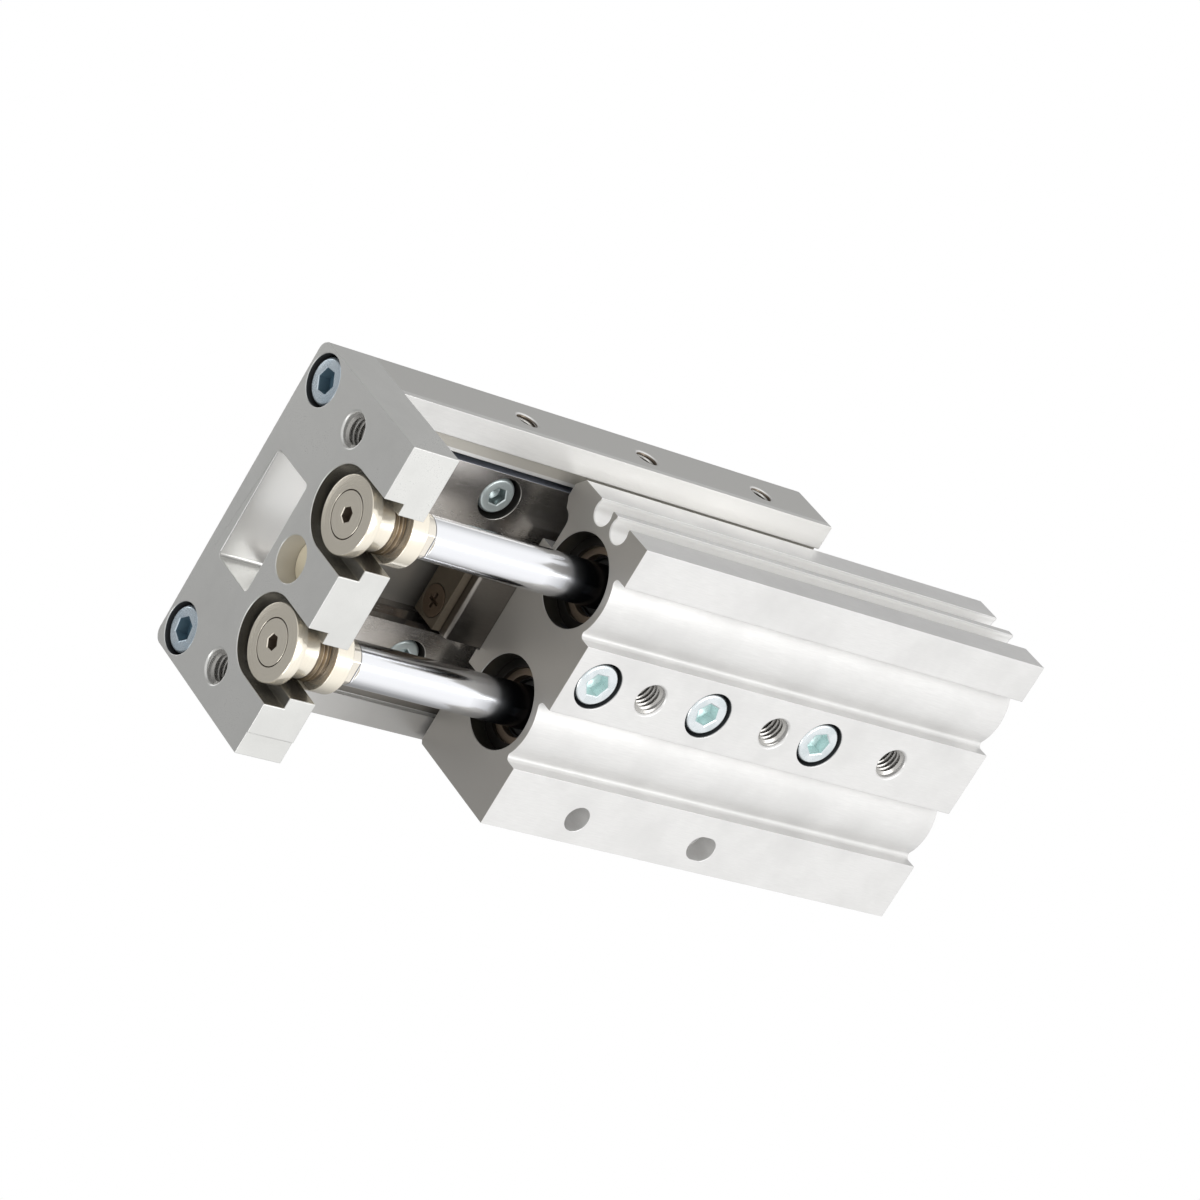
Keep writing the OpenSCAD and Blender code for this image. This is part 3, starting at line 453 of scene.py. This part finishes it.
def finish(name, colour, metallic, roughness, grain=(6000, 1.0), bump=0.15, contrast=0.05, rough_spread=0.05,
           patch=None, turning=None, stain=None, zones=()):
    """One material. The grain (spots per metre, streak) or the turning marks shift colour and roughness a little and
    feed the bump. Patches of the stain colour lie over it, and the zones over those."""
    material = bpy.data.materials.new(name)
    material.use_nodes = True
    tree = material.node_tree
    shader = tree.nodes["Principled BSDF"]
    shader.inputs["Metallic"].default_value = metallic
    if turning:
        marks = place_group(tree, TURNING, **turning)
    else:
        marks = place_group(tree, GRAIN, Per_metre=grain[0], Streak=grain[1])
    c = np.array(colour)
    dark, bright = np.clip(c * (1 - contrast), 0, 1), np.clip(c * (1 + contrast), 0, 1)
    coloured = shade_between(tree, value_between(tree, marks, 0, 1), tuple(dark), tuple(bright))
    rough = value_between(tree, marks, roughness - rough_spread, roughness + rough_spread)
    if patch:
        mask = place_group(tree, PATCHES, **patch)
        coloured = laid_over(tree, mask, coloured, stain or tuple(c * PATCH_DARKER))
        rough = maths(tree, "ADD", rough, maths(tree, "MULTIPLY", mask, PATCH_ROUGHER))
    metal = metallic
    for part in zones:
        mask = zone_mask(tree, part)
        coloured = laid_over(tree, mask, coloured, part["colour"])
        rough = moved_to(tree, mask, rough, part["roughness"])
        metal = moved_to(tree, mask, metal, part["metallic"])
    if zones:
        tree.links.new(metal, shader.inputs["Metallic"])
    tree.links.new(coloured, shader.inputs["Base Color"])
    tree.links.new(rough, shader.inputs["Roughness"])
    relief = tree.nodes.new("ShaderNodeBump")
    relief.inputs["Strength"].default_value = bump
    relief.inputs["Distance"].default_value = BUMP_DEPTH
    tree.links.new(marks, relief.inputs["Height"])
    tree.links.new(relief.outputs["Normal"], shader.inputs["Normal"])
    return material


# ---------------------------------------------------------------- materials

def stains(per_metre, amount=0.4, edge=0.3):
    """Settings of the soft patches: spots per metre, how much they cover and how soft they are."""
    return {"Per_metre": per_metre, "Amount": amount, "Edge": edge}


ROUND_RODS = {"Per_metre": 9000.0, "Centre_Y": ROD_Y * MM, "Centre_Z": ROD_Z * MM}
SOFT_STAINS = stains(70.0, 0.42)
SCREW_STAINS = stains(300.0)

# Places of the zones, in mm. A zone that belongs to a hollow or a face ends just inside the round at its edge.
BEHIND, AHEAD = -200, 100
BORE_R = 8.63
SLOT_HALF, SLOT_TOP = 7.9, 21.5
PLATE_DEPTH = (PLATE_BACK, PLATE_FRONT - 0.15)
PLATE_SCREW = (25.6, 34.4, 5.0)  # Y, Z and radius
DAMPER = (0.0, DAMPER_Z, 4.5)  # the same
WINDOW_HALF, WINDOW_TOP = 11.1, 35.4
GUIDE_SCREW_X, GUIDE_SCREW_R = (-6.9, -33.0, -60.6), 5.0
RAIL_FACE = (RAIL_LOW - 0.3, RAIL_LOW + 0.2)
SKIRT_FACE = (TABLE_LOW - 0.2, TABLE_LOW + 0.25)
SKIRT_IN, SKIRT_STEP_OUT, SKIRT_STEP_TOP = 23.1, 25.5, 27.4
TABLE_DEPTH = (TABLE_BACK + 0.2, TABLE_FRONT - 0.2)
HOLE_HALF, SIDE_HOLE_Z, TOP_HOLE_Y = 2.4, 31.3, 26.6
SHOULDER = COLLAR_BACK - 3.3

# Painted shade: the cylinder bores dark inside the body's front face.
BORE_SHADE = zone((0.07, 0.066, 0.055), 0.32, 0.7, x=(BEHIND, -0.12), line=(ROD_Y, ROD_Z, BORE_R), edge=0.02)
# Painted shade: the body's front face darker, in the end plate's shadow.
FRONT_FACE_SHADE = zone((0.40, 0.385, 0.36), 0.42, 0.5, x=(-0.07, AHEAD), edge=0.04)
# Painted reflection: the insides of the switch grooves lighter.
GROOVE_REFLECTION = zone((0.86, 0.855, 0.84), 0.3, 0.45, x=(BODY_REAR + 0.2, -0.2), y=(BODY_LEFT - 5.0, BODY_LEFT - 0.2),
                      z=(3.0, 24.0), edge=0.15, mirror=False)
# Painted shade: black wells round the guide block's screw heads.
GUIDE_SCREW_WELL_SHADE = tuple(
    zone((0.03, 0.033, 0.035), 0.5, 0.2, x=(x - GUIDE_SCREW_R, x + GUIDE_SCREW_R),
         y=(-GUIDE_SCREW_R + 0.05, GUIDE_SCREW_R - 0.05), z=(0.2, 12), mirror=False) for x in GUIDE_SCREW_X)
# Painted shade: the table's underside between the skirts darker, deep in its channel.
CHANNEL_SHADE = zone((0.30, 0.285, 0.26), 0.3, 0.6, y=(-SKIRT_IN - 0.2, SKIRT_IN + 0.2),
                      z=(RAIL_TOP - 0.58, RAIL_TOP + 0.22), edge=0.05, mirror=False)
# Painted shade with a tan reflection on the groove side's skirt step.
LEFT_STEP_SHADE = zone((0.46, 0.44, 0.395), 0.36, 0.5, y=(SKIRT_IN + 0.7, SKIRT_IN + 2.7), z=(25.0, SKIRT_STEP_TOP),
                  mirror=False)
# Painted shade: a dark band in the gap at the port side's skirt step.
RIGHT_STEP_SHADE = zone((0.16, 0.15, 0.135), 0.4, 0.5, y=(-SKIRT_IN - 2.9, -SKIRT_IN - 0.7), z=(25.8, SKIRT_STEP_TOP),
                 mirror=False)
SKIRT_SHADE = zone((0.27, 0.262, 0.25), 0.34, 0.5, x=(-80, 50), y=(-TABLE_SIDE - 0.2, -SKIRT_STEP_OUT), z=SKIRT_FACE,
                   edge=0.2, mirror=False, amount=0.85, fade_x=38)
# Painted light: the groove side's skirt underside lighter.
SKIRT_PAINTED_LIGHT = zone((0.92, 0.91, 0.88), 0.32, 0.5, x=(-90, 24), y=(SKIRT_STEP_OUT, TABLE_SIDE + 0.2), z=SKIRT_FACE,
                   edge=0.2, mirror=False, amount=0.9, fade_x=60)
# Painted shade: the table's side faces darker.
TABLE_SIDE_SHADE = zone((0.57, 0.565, 0.545), 0.34, 0.55, y=(TABLE_SIDE - 0.05, TABLE_SIDE + 1), z=(27, 39), edge=0.04)
# Painted shade: dark brown insides of the side tapped holes.
SIDE_HOLE_SHADE = zone((0.17, 0.14, 0.11), 0.35, 0.8, x=TABLE_DEPTH, y=(25.9, TABLE_SIDE - 0.2),
                  z=(SIDE_HOLE_Z - HOLE_HALF, SIDE_HOLE_Z + HOLE_HALF), edge=0.06)
# Painted shade: darker insides of the top tapped holes.
TOP_HOLE_SHADE = zone((0.30, 0.29, 0.27), 0.35, 0.8, x=TABLE_DEPTH, y=(TOP_HOLE_Y - HOLE_HALF, TOP_HOLE_Y + HOLE_HALF),
                 z=(SIDE_HOLE_Z + HOLE_HALF + 0.05, TABLE_TOP - 0.2), edge=0.06)
BUSH_SLOTS = zone((0.34, 0.33, 0.305), 0.26, 0.95, x=(PLATE_BACK + 0.1, PLATE_FRONT - 0.14),
                  y=(ROD_Y - SLOT_HALF, ROD_Y + SLOT_HALF), z=(PLATE_LOW + 0.2, SLOT_TOP), edge=0.05)
# Painted shade: black wells round the end plate's screw heads.
SCREW_WELL_SHADE = zone((0.025, 0.026, 0.028), 0.5, 0.2, x=PLATE_DEPTH, line=PLATE_SCREW, edge=0.05)
DAMPER_WELL = zone((0.55, 0.52, 0.45), 0.4, 0.2, x=PLATE_DEPTH, line=DAMPER, edge=0.05)
# Painted light: the window's top face lighter.
WINDOW_PAINTED_LIGHT = zone((0.90, 0.895, 0.87), 0.28, 0.62, x=(PLATE_BACK + 0.1, PLATE_FRONT - 0.18), y=(-WINDOW_HALF, WINDOW_HALF),
              z=(WINDOW_TOP - 0.2, WINDOW_TOP + 0.2), edge=0.05, mirror=False)
# Painted shade: black wells round the rail screws.
RAIL_WELL_SHADE = zone((0.035, 0.033, 0.03), 0.4, 0.5, x=(RAIL_BACK + 0.3, RAIL_FRONT - 0.2),
                  y=(RAIL_IN + 2.0, RAIL_OUT - 0.4), z=(RAIL_LOW + 0.2, RAIL_TOP - 0.08))
RAIL_SIDES = zone((0.26, 0.28, 0.33), 0.35, 0.5, y=(RAIL_OUT - 0.1, TABLE_SIDE), edge=0.05)
# Painted reflection: the rails' lower faces lighter towards their front ends.
RAIL_END_REFLECTION = zone((0.80, 0.76, 0.72), 0.26, 0.9, x=(6, AHEAD), z=RAIL_FACE, fade_x=32, amount=0.9)
RAIL_SPECKS = zone((0.10, 0.097, 0.09), 0.45, 0.5, y=(RAIL_IN - 1.8, RAIL_IN + 3.0), z=RAIL_FACE, edge=1.3,
                   amount=0.85, speckle=1100.0)
# Painted reflection: the rods dark near the bores, where they mirror the dark body.
ROD_DARK_REFLECTION = zone((0.05, 0.06, 0.08), 0.25, 1.0, x=(-70, 9.5), fade_x=9.0, amount=0.96)
ROD_SHOULDER = zone((0.86, 0.81, 0.72), 0.2, 0.9, x=(SHOULDER, COLLAR_BACK + 1), edge=0.04)
SHOULDER_LINE = zone((0.08, 0.07, 0.06), 0.4, 0.5, x=(SHOULDER - 0.2, SHOULDER + 0.02), edge=0.05)

MATERIALS = {
    "housing": finish("anodised_body", (0.70, 0.695, 0.685), 0.5, 0.34, grain=(5200, 14.0), bump=0.12, contrast=0.05,
                      patch=SOFT_STAINS, zones=(BORE_SHADE, GROOVE_REFLECTION) + GUIDE_SCREW_WELL_SHADE + (FRONT_FACE_SHADE,)),
    "table": finish("anodised_table", (0.70, 0.695, 0.68), 0.55, 0.34, grain=(5200, 10.0), bump=0.12, contrast=0.05,
                    patch=SOFT_STAINS, zones=(CHANNEL_SHADE, LEFT_STEP_SHADE, RIGHT_STEP_SHADE, SKIRT_SHADE, SKIRT_PAINTED_LIGHT,
                                              TABLE_SIDE_SHADE, SIDE_HOLE_SHADE, TOP_HOLE_SHADE)),
    "end_plate": finish("anodised_end_plate", (0.69, 0.69, 0.67), 0.62, 0.30, grain=(6500, 1.0), bump=0.1,
                        contrast=0.05, patch=SOFT_STAINS, zones=(WINDOW_PAINTED_LIGHT, BUSH_SLOTS, SCREW_WELL_SHADE, DAMPER_WELL)),
    "head_cap": finish("anodised_caps", (0.55, 0.56, 0.57), 0.7, 0.36, turning=ROUND_RODS, bump=0.2),
    "piston": finish("turned_pistons", (0.58, 0.58, 0.58), 0.9, 0.32, turning=ROUND_RODS, bump=0.25),
    "guide_steel": finish("guide_block_steel", (0.17, 0.157, 0.142), 1.0, 0.32, grain=(4200, 9.0), bump=0.02,
                          contrast=0.08, rough_spread=0.04, patch=stains(120.0, edge=0.25),
                          stain=(0.17, 0.16, 0.145)),
    "rail_steel": finish("rail_steel", (0.44, 0.42, 0.40), 0.95, 0.21, grain=(4200, 9.0), bump=0.12, contrast=0.08,
                         rough_spread=0.05, patch=stains(160.0, 0.42),
                         stain=(0.30, 0.28, 0.25), zones=(RAIL_END_REFLECTION, RAIL_SPECKS, RAIL_WELL_SHADE, RAIL_SIDES)),
    "stop_steel": finish("stop_plate_steel", (0.155, 0.128, 0.095), 0.75, 0.42, grain=(5000, 6.0), bump=0.2,
                         contrast=0.1, patch=stains(200.0, 0.45)),
    "stop_screw": finish("stop_screw_steel", (0.16, 0.115, 0.08), 0.8, 0.38, grain=(7000, 1.0), bump=0.2),
    "guide_screw": finish("guide_screw_zinc", (0.80, 0.84, 0.86), 1.0, 0.24, grain=(5000, 1.0), bump=0.10,
                          patch=SCREW_STAINS, stain=(0.60, 0.67, 0.69)),
    "plate_screw": finish("end_plate_screw_zinc", (0.76, 0.86, 0.94), 0.8, 0.24, grain=(5000, 1.0), bump=0.12,
                          patch=SCREW_STAINS, stain=(0.56, 0.68, 0.78)),
    "rail_screw": finish("rail_screw_zinc", (0.52, 0.58, 0.58), 0.6, 0.3, grain=(5000, 1.0), bump=0.15,
                         patch=SCREW_STAINS, stain=(0.45, 0.50, 0.49)),
    "bush": finish("bush_nickel", (0.90, 0.84, 0.72), 0.78, 0.20, turning=ROUND_RODS, bump=0.03, contrast=0.03,
                   rough_spread=0.03),
    "rod": finish("hard_chrome", (0.92, 0.93, 0.96), 1.0, 0.15, turning={**ROUND_RODS, "Per_metre": 4000.0},
                  bump=0.02, contrast=0.01, rough_spread=0.02, zones=(ROD_DARK_REFLECTION, ROD_SHOULDER, SHOULDER_LINE)),
    "rod_guide": finish("rod_guide_bronze", (0.26, 0.20, 0.15), 0.7, 0.42, turning=ROUND_RODS, bump=0.2),
    "seal": finish("black_seal", (0.012, 0.012, 0.012), 0.0, 0.45, grain=(5000, 1.0), bump=0.1),
    "retaining_ring": finish("dark_ring_steel", (0.03, 0.028, 0.026), 0.8, 0.40, grain=(6000, 1.0), bump=0.15),
    "damper": finish("damper_urethane", (0.82, 0.75, 0.58), 0.0, 0.5, grain=(5000, 1.0), bump=0.1, contrast=0.04),
    "magnet": finish("magnet", (0.05, 0.05, 0.055), 0.3, 0.5),
    "cage": finish("cage_brass", (0.42, 0.33, 0.17), 0.9, 0.35, grain=(6000, 4.0), bump=0.15),
    "roller": finish("ground_rollers", (0.62, 0.63, 0.65), 1.0, 0.18, grain=(6000, 1.0), bump=0.05),
}
# Painted shade: darker copies of the screw and bush finishes, for their sockets and hollows.
SOCKET_SHADE = {
    "plate_screw": finish("end_plate_screw_socket_shade", (0.15, 0.24, 0.30), 0.6, 0.35, grain=(5000, 1.0)),
    "guide_screw": finish("guide_screw_socket_shade", (0.66, 0.80, 0.79), 0.6, 0.3, grain=(5000, 1.0)),
    "rail_screw": finish("rail_screw_socket_shade", (0.30, 0.35, 0.35), 0.8, 0.3, grain=(5000, 1.0)),
    "bush": finish("bush_socket_shade", (0.14, 0.11, 0.08), 0.6, 0.4, grain=(5000, 1.0)),
}
# Painted shade: a darker aluminium for the threads in the tapped holes.
SHADED_THREADS = finish("shaded_threads", (0.46, 0.45, 0.43), 0.85, 0.26, grain=(6000, 1.0), bump=0.1)
THREAD_BROWN = finish("bush_thread_brown", (0.30, 0.24, 0.17), 0.9, 0.3, turning=ROUND_RODS, bump=0.15)
for node, thing in NODES.items():
    thing.data.materials.clear()
    thing.data.materials.append(MATERIALS[SLOTS[node]])


# ---------------------------------------------------------------- rounded copies of the main solids

ROUNDS = {"body_housing": 0.13, "end_plate": 0.16, "table_plate": 0.2, "guide_block": 0.14, "left_rail": 0.14,
          "right_rail": 0.14, "front_stop_plate": 0.14, "rear_stop_plate": 0.14, "stop_plate_screws": 0.05,
          "left_rod_guide": 0.10, "right_rod_guide": 0.10, "front_retaining_rings": 0.10,
          "rear_retaining_rings": 0.10, "left_head_cap": 0.15, "right_head_cap": 0.15, "left_rod_collar": 0.14,
          "right_rod_collar": 0.14, "left_piston_rod": 0.12, "right_piston_rod": 0.12, "end_damper": 0.3}
for node, width in ROUNDS.items():
    rounded(node, width, MATERIALS[SLOTS[node]])


# ---------------------------------------------------------------- screws with socket heads

# Head radius and height, socket apothem and depth, shank radius
BODY_SCREW = (4.25, 5.0, 2.0, 2.5, 2.5)
RAIL_SCREW = (3.5, 4.0, 1.5, 2.0, 2.0)
HEAD_RIM = [(0.03, 0.46), (0.12, 0.30), (0.42, 0.06), (0.56, 0.0)]  # below the face, inside the head's radius
SOCKET_EDGE = (0.12, 0.06)  # the same for the socket's own edge, outside its apothem


def screw_head(place, axis, reach, size, turn):
    """A socket head screw turned about its axis: the head's face from the socket's edge, its two rounded rims and its
    shank to the tip. The place is the middle of the head's face."""
    r, h, socket, _, shank = size
    down, out = SOCKET_EDGE
    rows = [(down, socket + out, 6), (0.0, socket + out + 0.2, 6), (0.0, r - 0.62)]
    rows += [(below, r - inside) for below, inside in HEAD_RIM]
    rows += [(h - 0.15, r), (h, r - 0.15), (h, shank), (reach - 0.4, shank), (reach, shank - 0.4), (reach, 0)]
    return turned(place, axis, rows, turn=turn)


def screw_socket(place, axis, size, turn):
    """The hexagon socket of the same screw, from its drilled foot up to its edge."""
    _, _, socket, depth, _ = size
    down, out = SOCKET_EDGE
    rows = [(depth + 0.7, 0), (depth + 0.5, 0.7), (depth, socket * 0.98), (depth, socket, 6), (0.30, socket, 6),
            (down, socket + out, 6)]
    return turned(place, axis, rows, turn=turn)


def separate_solids(node):
    """The points in mm of each solid of a node that touches no other, from the rear to the front."""
    bm = bmesh.new()
    bm.from_mesh(NODES[node].data)
    bmesh.ops.remove_doubles(bm, verts=bm.verts, dist=WELD)
    groups, seen = [], set()
    for v in bm.verts:
        if v in seen:
            continue
        stack, group = [v], []
        seen.add(v)
        while stack:
            w = stack.pop()
            group.append(w.co.copy())
            for e in w.link_edges:
                o = e.other_vert(w)
                if o not in seen:
                    seen.add(o)
                    stack.append(o)
        groups.append(np.array(group) / MM)
    bm.free()
    return sorted(groups, key=lambda g: tuple(np.round(g.mean(0), 2)))


def screw_set(node, axis, size, turns):
    """The heads and the sockets of one node's screws, at the places of its solids. The turns of the sockets are used
    one after the other."""
    axis = np.asarray(axis, float)
    heads, sockets = [], []
    for k, solid in enumerate(separate_solids(node)):
        lo, hi = solid.min(0), solid.max(0)
        face = np.where(axis > 0, lo, np.where(axis < 0, hi, (lo + hi) / 2))
        turn = turns[k % len(turns)]
        heads.append(screw_head(face, axis, float(abs(((hi - lo) * axis).sum())), size, turn))
        sockets.append(screw_socket(face, axis, size, turn))
    return heads, sockets


for label, node, axis, size, turns, slot, body in (
        ("end_plate_socket_screws", "end_plate_screws", (-1, 0, 0), BODY_SCREW, (0.3, 0.9), "plate_screw", "table"),
        ("guide_block_socket_screws", "guide_block_screws", (0, 0, 1), BODY_SCREW, (0.2, 0.75, 0.5), "guide_screw",
         "housing"),
        ("rail_socket_screws", "rail_screws", (0, 0, 1), RAIL_SCREW, (0.1, 0.6, 0.35, 0.8), "rail_screw", "table")):
    heads, sockets = screw_set(node, axis, size, turns)
    add_piece(label, heads, MATERIALS[slot], body, [node], second=(SOCKET_SHADE[slot], sockets))


# ---------------------------------------------------------------- floating bushes

STUD_R, STUD_HEX = 4.1, 1.25
DISC_BACK, NECK_R, CORE_R = 2.3, 4.9, 4.7
NECK_END = 6.6
CORE_BACK = BUSH_FRONT - COLLAR_FRONT - 0.02


def bush_turned(side, rows):
    return turned((BUSH_FRONT, side * ROD_Y, ROD_Z), (-1, 0, 0), rows, sides=120, turn=0.35 if side > 0 else 0.9)


def bush_face(side):
    """A bush turned about its rod's axis: the stud's head from the edge of its hexagon socket, and the disc with
    rounded rims down to the end of the neck."""
    head = [(0.14, STUD_HEX + 0.04, 6), (0.0, STUD_HEX + 0.16, 6), (0.0, STUD_R - 0.03), (0.03, STUD_R)]
    disc = [(0.03, STUD_R + 0.22), (0.0, STUD_R + 0.25), (0.0, BUSH_R - 0.28), (0.03, BUSH_R - 0.15),
            (0.12, BUSH_R - 0.04), (0.26, BUSH_R), (DISC_BACK - 0.3, BUSH_R), (DISC_BACK - 0.1, BUSH_R - 0.08),
            (DISC_BACK, BUSH_R - 0.3), (DISC_BACK, NECK_R + 0.12), (DISC_BACK + 0.08, NECK_R + 0.03),
            (DISC_BACK + 0.3, NECK_R), (NECK_END - 0.25, NECK_R), (NECK_END - 0.1, NECK_R - 0.08), (NECK_END, CORE_R)]
    return [bush_turned(side, head), bush_turned(side, disc)]


def bush_inside(side):
    """The parts of the same bush in painted shade: its socket, the groove round the stud's head, and the core of its
    thread down to the collar."""
    socket = [(2.0, 0), (1.9, 0.4), (1.75, STUD_HEX, 6), (0.14, STUD_HEX + 0.04, 6)]
    groove = [(0.03, STUD_R), (0.4, STUD_R + 0.03), (0.4, STUD_R + 0.19), (0.03, STUD_R + 0.22)]
    core = [(NECK_END, CORE_R), (CORE_BACK - 0.08, CORE_R), (CORE_BACK, CORE_R - 0.1), (CORE_BACK, 0)]
    return [bush_turned(side, rows) for rows in (socket, groove, core)]


def bush_thread(side):
    """The coarse thread between the neck and the collar, rooted just inside the core."""
    start = (BUSH_FRONT - NECK_END + 0.15, side * ROD_Y, ROD_Z)
    return thread_ridge(start, (-1, 0, 0), CORE_R - 0.02, 0.42, 0.8, 2.75, sides=64)


for label, side in (("left", 1), ("right", -1)):
    add_piece(label + "_bush_turned", bush_face(side), MATERIALS["bush"], "table",
              [label + "_floating_bush"], angle=24, second=(SOCKET_SHADE["bush"], bush_inside(side)))
    add_piece(label + "_bush_thread", [bush_thread(side)], THREAD_BROWN, "table")


# ---------------------------------------------------------------- threads of the tapped holes

M4, M5, M6 = (2.0, 0.7), (2.5, 0.8), (3.0, 1.0)  # radius and pitch
THREAD_CREST = -0.54  # height in pitches, inward
TOP_HOLE_X = (25, -3, -31)
PLATE_HOLE_Y, PLATE_HOLE_Z = 24.2, 20.6


def hole_thread(mouth, out_of, size, depth, start=0.0):
    """The thread in a tapped hole: a ridge that points inward, from just inside the mouth's chamfer to the depth."""
    radius, pitch = size
    inward = -np.asarray(out_of, float)
    return thread_ridge(np.asarray(mouth, float) + inward * 0.12, inward, radius, THREAD_CREST * pitch, pitch, depth,
                        start=start)


def on_face(mount, axis, value):
    """The place of a mount in mm, moved along one axis to the given value."""
    p = np.array(next(m["pos_m"] for m in frame["record"]["mounts"] if m["name"] == mount)) / MM
    p[axis] = value
    return p


body_threads = [hole_thread(on_face(f"mount_thread_{i}", Z, 0.0), (0, 0, -1), M6, 8.2, i) for i in (1, 2, 3)]
port_threads = [hole_thread(on_face(n, Y, BODY_RIGHT), (0, -1, 0), M5, 5.2) for n in ("front_port", "rear_port")]
add_piece("body_threads", body_threads + port_threads, SHADED_THREADS, "housing", angle=40)
side_threads = [hole_thread(on_face(f"side_thread_{i}", Y, TABLE_SIDE), (0, 1, 0), M4, 5.7, i) for i in (1, 2, 3)]
top_threads = [hole_thread((x, side * TOP_HOLE_Y, TABLE_TOP), (0, 0, 1), M4, 5.7)
               for x in TOP_HOLE_X for side in (-1, 1)]
add_piece("table_threads", side_threads + top_threads, SHADED_THREADS, "table", angle=40)
plate_threads = [hole_thread((PLATE_FRONT, side * PLATE_HOLE_Y, PLATE_HOLE_Z), (1, 0, 0), M6,
                             PLATE_FRONT - PLATE_BACK - 0.2, side) for side in (-1, 1)]
add_piece("end_plate_threads", plate_threads, SHADED_THREADS, "table", angle=40)


# ---------------------------------------------------------------- floor, light and camera

FLOOR_HALF, FLOOR_Z = 2.2, -0.0004
BRIGHT_SIDE = Vector((-0.1, 0.45, -0.9)).normalized()
MIDDLE = Vector((-0.02, 0.0, 0.02))


def floor_plane():
    """A flat square just under the mounting face. Seen from below it is clear, so the object can be looked at from
    there too."""
    mesh = bpy.data.meshes.new("floor")
    corners = [(x * FLOOR_HALF, y * FLOOR_HALF, FLOOR_Z) for x, y in ((-1, -1), (1, -1), (1, 1), (-1, 1))]
    mesh.from_pydata(corners, [], [(0, 1, 2, 3)])
    material = bpy.data.materials.new("pale_floor")
    material.use_nodes = True
    tree = material.node_tree
    shader = tree.nodes["Principled BSDF"]
    shader.inputs["Base Color"].default_value = (0.93, 0.93, 0.93, 1)
    shader.inputs["Roughness"].default_value = 0.7
    shader.inputs["Specular IOR Level"].default_value = 0.2
    clear = tree.nodes.new("ShaderNodeBsdfTransparent")
    facing = tree.nodes.new("ShaderNodeNewGeometry")
    mix = tree.nodes.new("ShaderNodeMixShader")
    tree.links.new(facing.outputs["Backfacing"], mix.inputs[0])
    tree.links.new(shader.outputs[0], mix.inputs[1])
    tree.links.new(clear.outputs[0], mix.inputs[2])
    tree.links.new(mix.outputs[0], tree.nodes["Material Output"].inputs["Surface"])
    mesh.materials.append(material)
    floor = bpy.data.objects.new("floor", mesh)
    bpy.context.scene.collection.objects.link(floor)
    floor.visible_diffuse = floor.visible_glossy = floor.visible_transmission = floor.visible_shadow = False


def studio_world(ambient, darkest):
    """White to the camera. In reflections it is white below and on the groove side and falls softly to the darkest
    level towards the port side, overhead and in front. Its plain light is the same, times ambient."""
    world = bpy.data.worlds.new("studio")
    world.use_nodes = True
    tree = world.node_tree
    background = tree.nodes["Background"]
    background.inputs["Color"].default_value = (1, 1, 1, 1)
    way = tree.nodes.new("ShaderNodeTexCoord")
    towards = tree.nodes.new("ShaderNodeVectorMath")
    towards.operation = "DOT_PRODUCT"
    tree.links.new(way.outputs["Generated"], towards.inputs[0])
    towards.inputs[1].default_value = BRIGHT_SIDE
    fall = tree.nodes.new("ShaderNodeMapRange")
    fall.interpolation_type = "SMOOTHSTEP"
    tree.links.new(towards.outputs["Value"], fall.inputs["Value"])
    fall.inputs["From Min"].default_value = -0.6
    fall.inputs["From Max"].default_value = 0.55
    fall.inputs["To Min"].default_value = darkest
    fall.inputs["To Max"].default_value = 1.0
    path = tree.nodes.new("ShaderNodeLightPath")
    mirrored = maths(tree, "MAXIMUM", path.outputs["Is Glossy Ray"], path.outputs["Is Transmission Ray"])
    soft = maths(tree, "ADD", maths(tree, "MULTIPLY", mirrored, 1.0 - ambient), ambient)
    lit = maths(tree, "MULTIPLY", fall.outputs["Result"], soft)
    strength = maths(tree, "MAXIMUM", path.outputs["Is Camera Ray"], lit)
    tree.links.new(strength, background.inputs["Strength"])
    bpy.context.scene.world = world


def softbox(name, place, size, watts):
    """A square lamp that points at the middle of the object."""
    lamp = bpy.data.lights.new(name, "AREA")
    lamp.shape = "SQUARE"
    lamp.size = size
    lamp.energy = watts
    thing = bpy.data.objects.new(name, lamp)
    thing.location = place
    thing.rotation_mode = "QUATERNION"
    thing.rotation_quaternion = (MIDDLE - Vector(place)).to_track_quat("-Z", "Y")
    bpy.context.scene.collection.objects.link(thing)


def camera():
    """The camera looks at the mounting face from below, past the end plate, with the groove side up."""
    right = (-0.74154, 0.49550, -0.45232)
    up = (0.21056, 0.81201, 0.54433)
    back = (0.63701, 0.30841, -0.70648)
    data = bpy.data.cameras.new("camera")
    data.sensor_width = 36
    data.lens = 127.36
    data.clip_start, data.clip_end = 0.01, 20
    thing = bpy.data.objects.new("camera", data)
    place = (0.461734, 0.237736, -0.508420)
    thing.matrix_world = Matrix([(right[i], up[i], back[i], place[i]) for i in range(3)] + [(0, 0, 0, 1)])
    bpy.context.scene.collection.objects.link(thing)
    bpy.context.scene.camera = thing


floor_plane()
studio_world(ambient=1.0, darkest=0.28)
softbox("key_below", (-0.25, 0.3, -0.85), 0.6, 3.75)
softbox("key_above", (0.15, -0.1, 0.85), 0.6, 1.7)
softbox("front_fill", (0.7, -0.5, -0.5), 0.5, 2.0)
softbox("side_fill", (-0.1, 0.9, 0.1), 0.5, 0.6)
camera()

bpy.context.scene.view_settings.view_transform = "Standard"
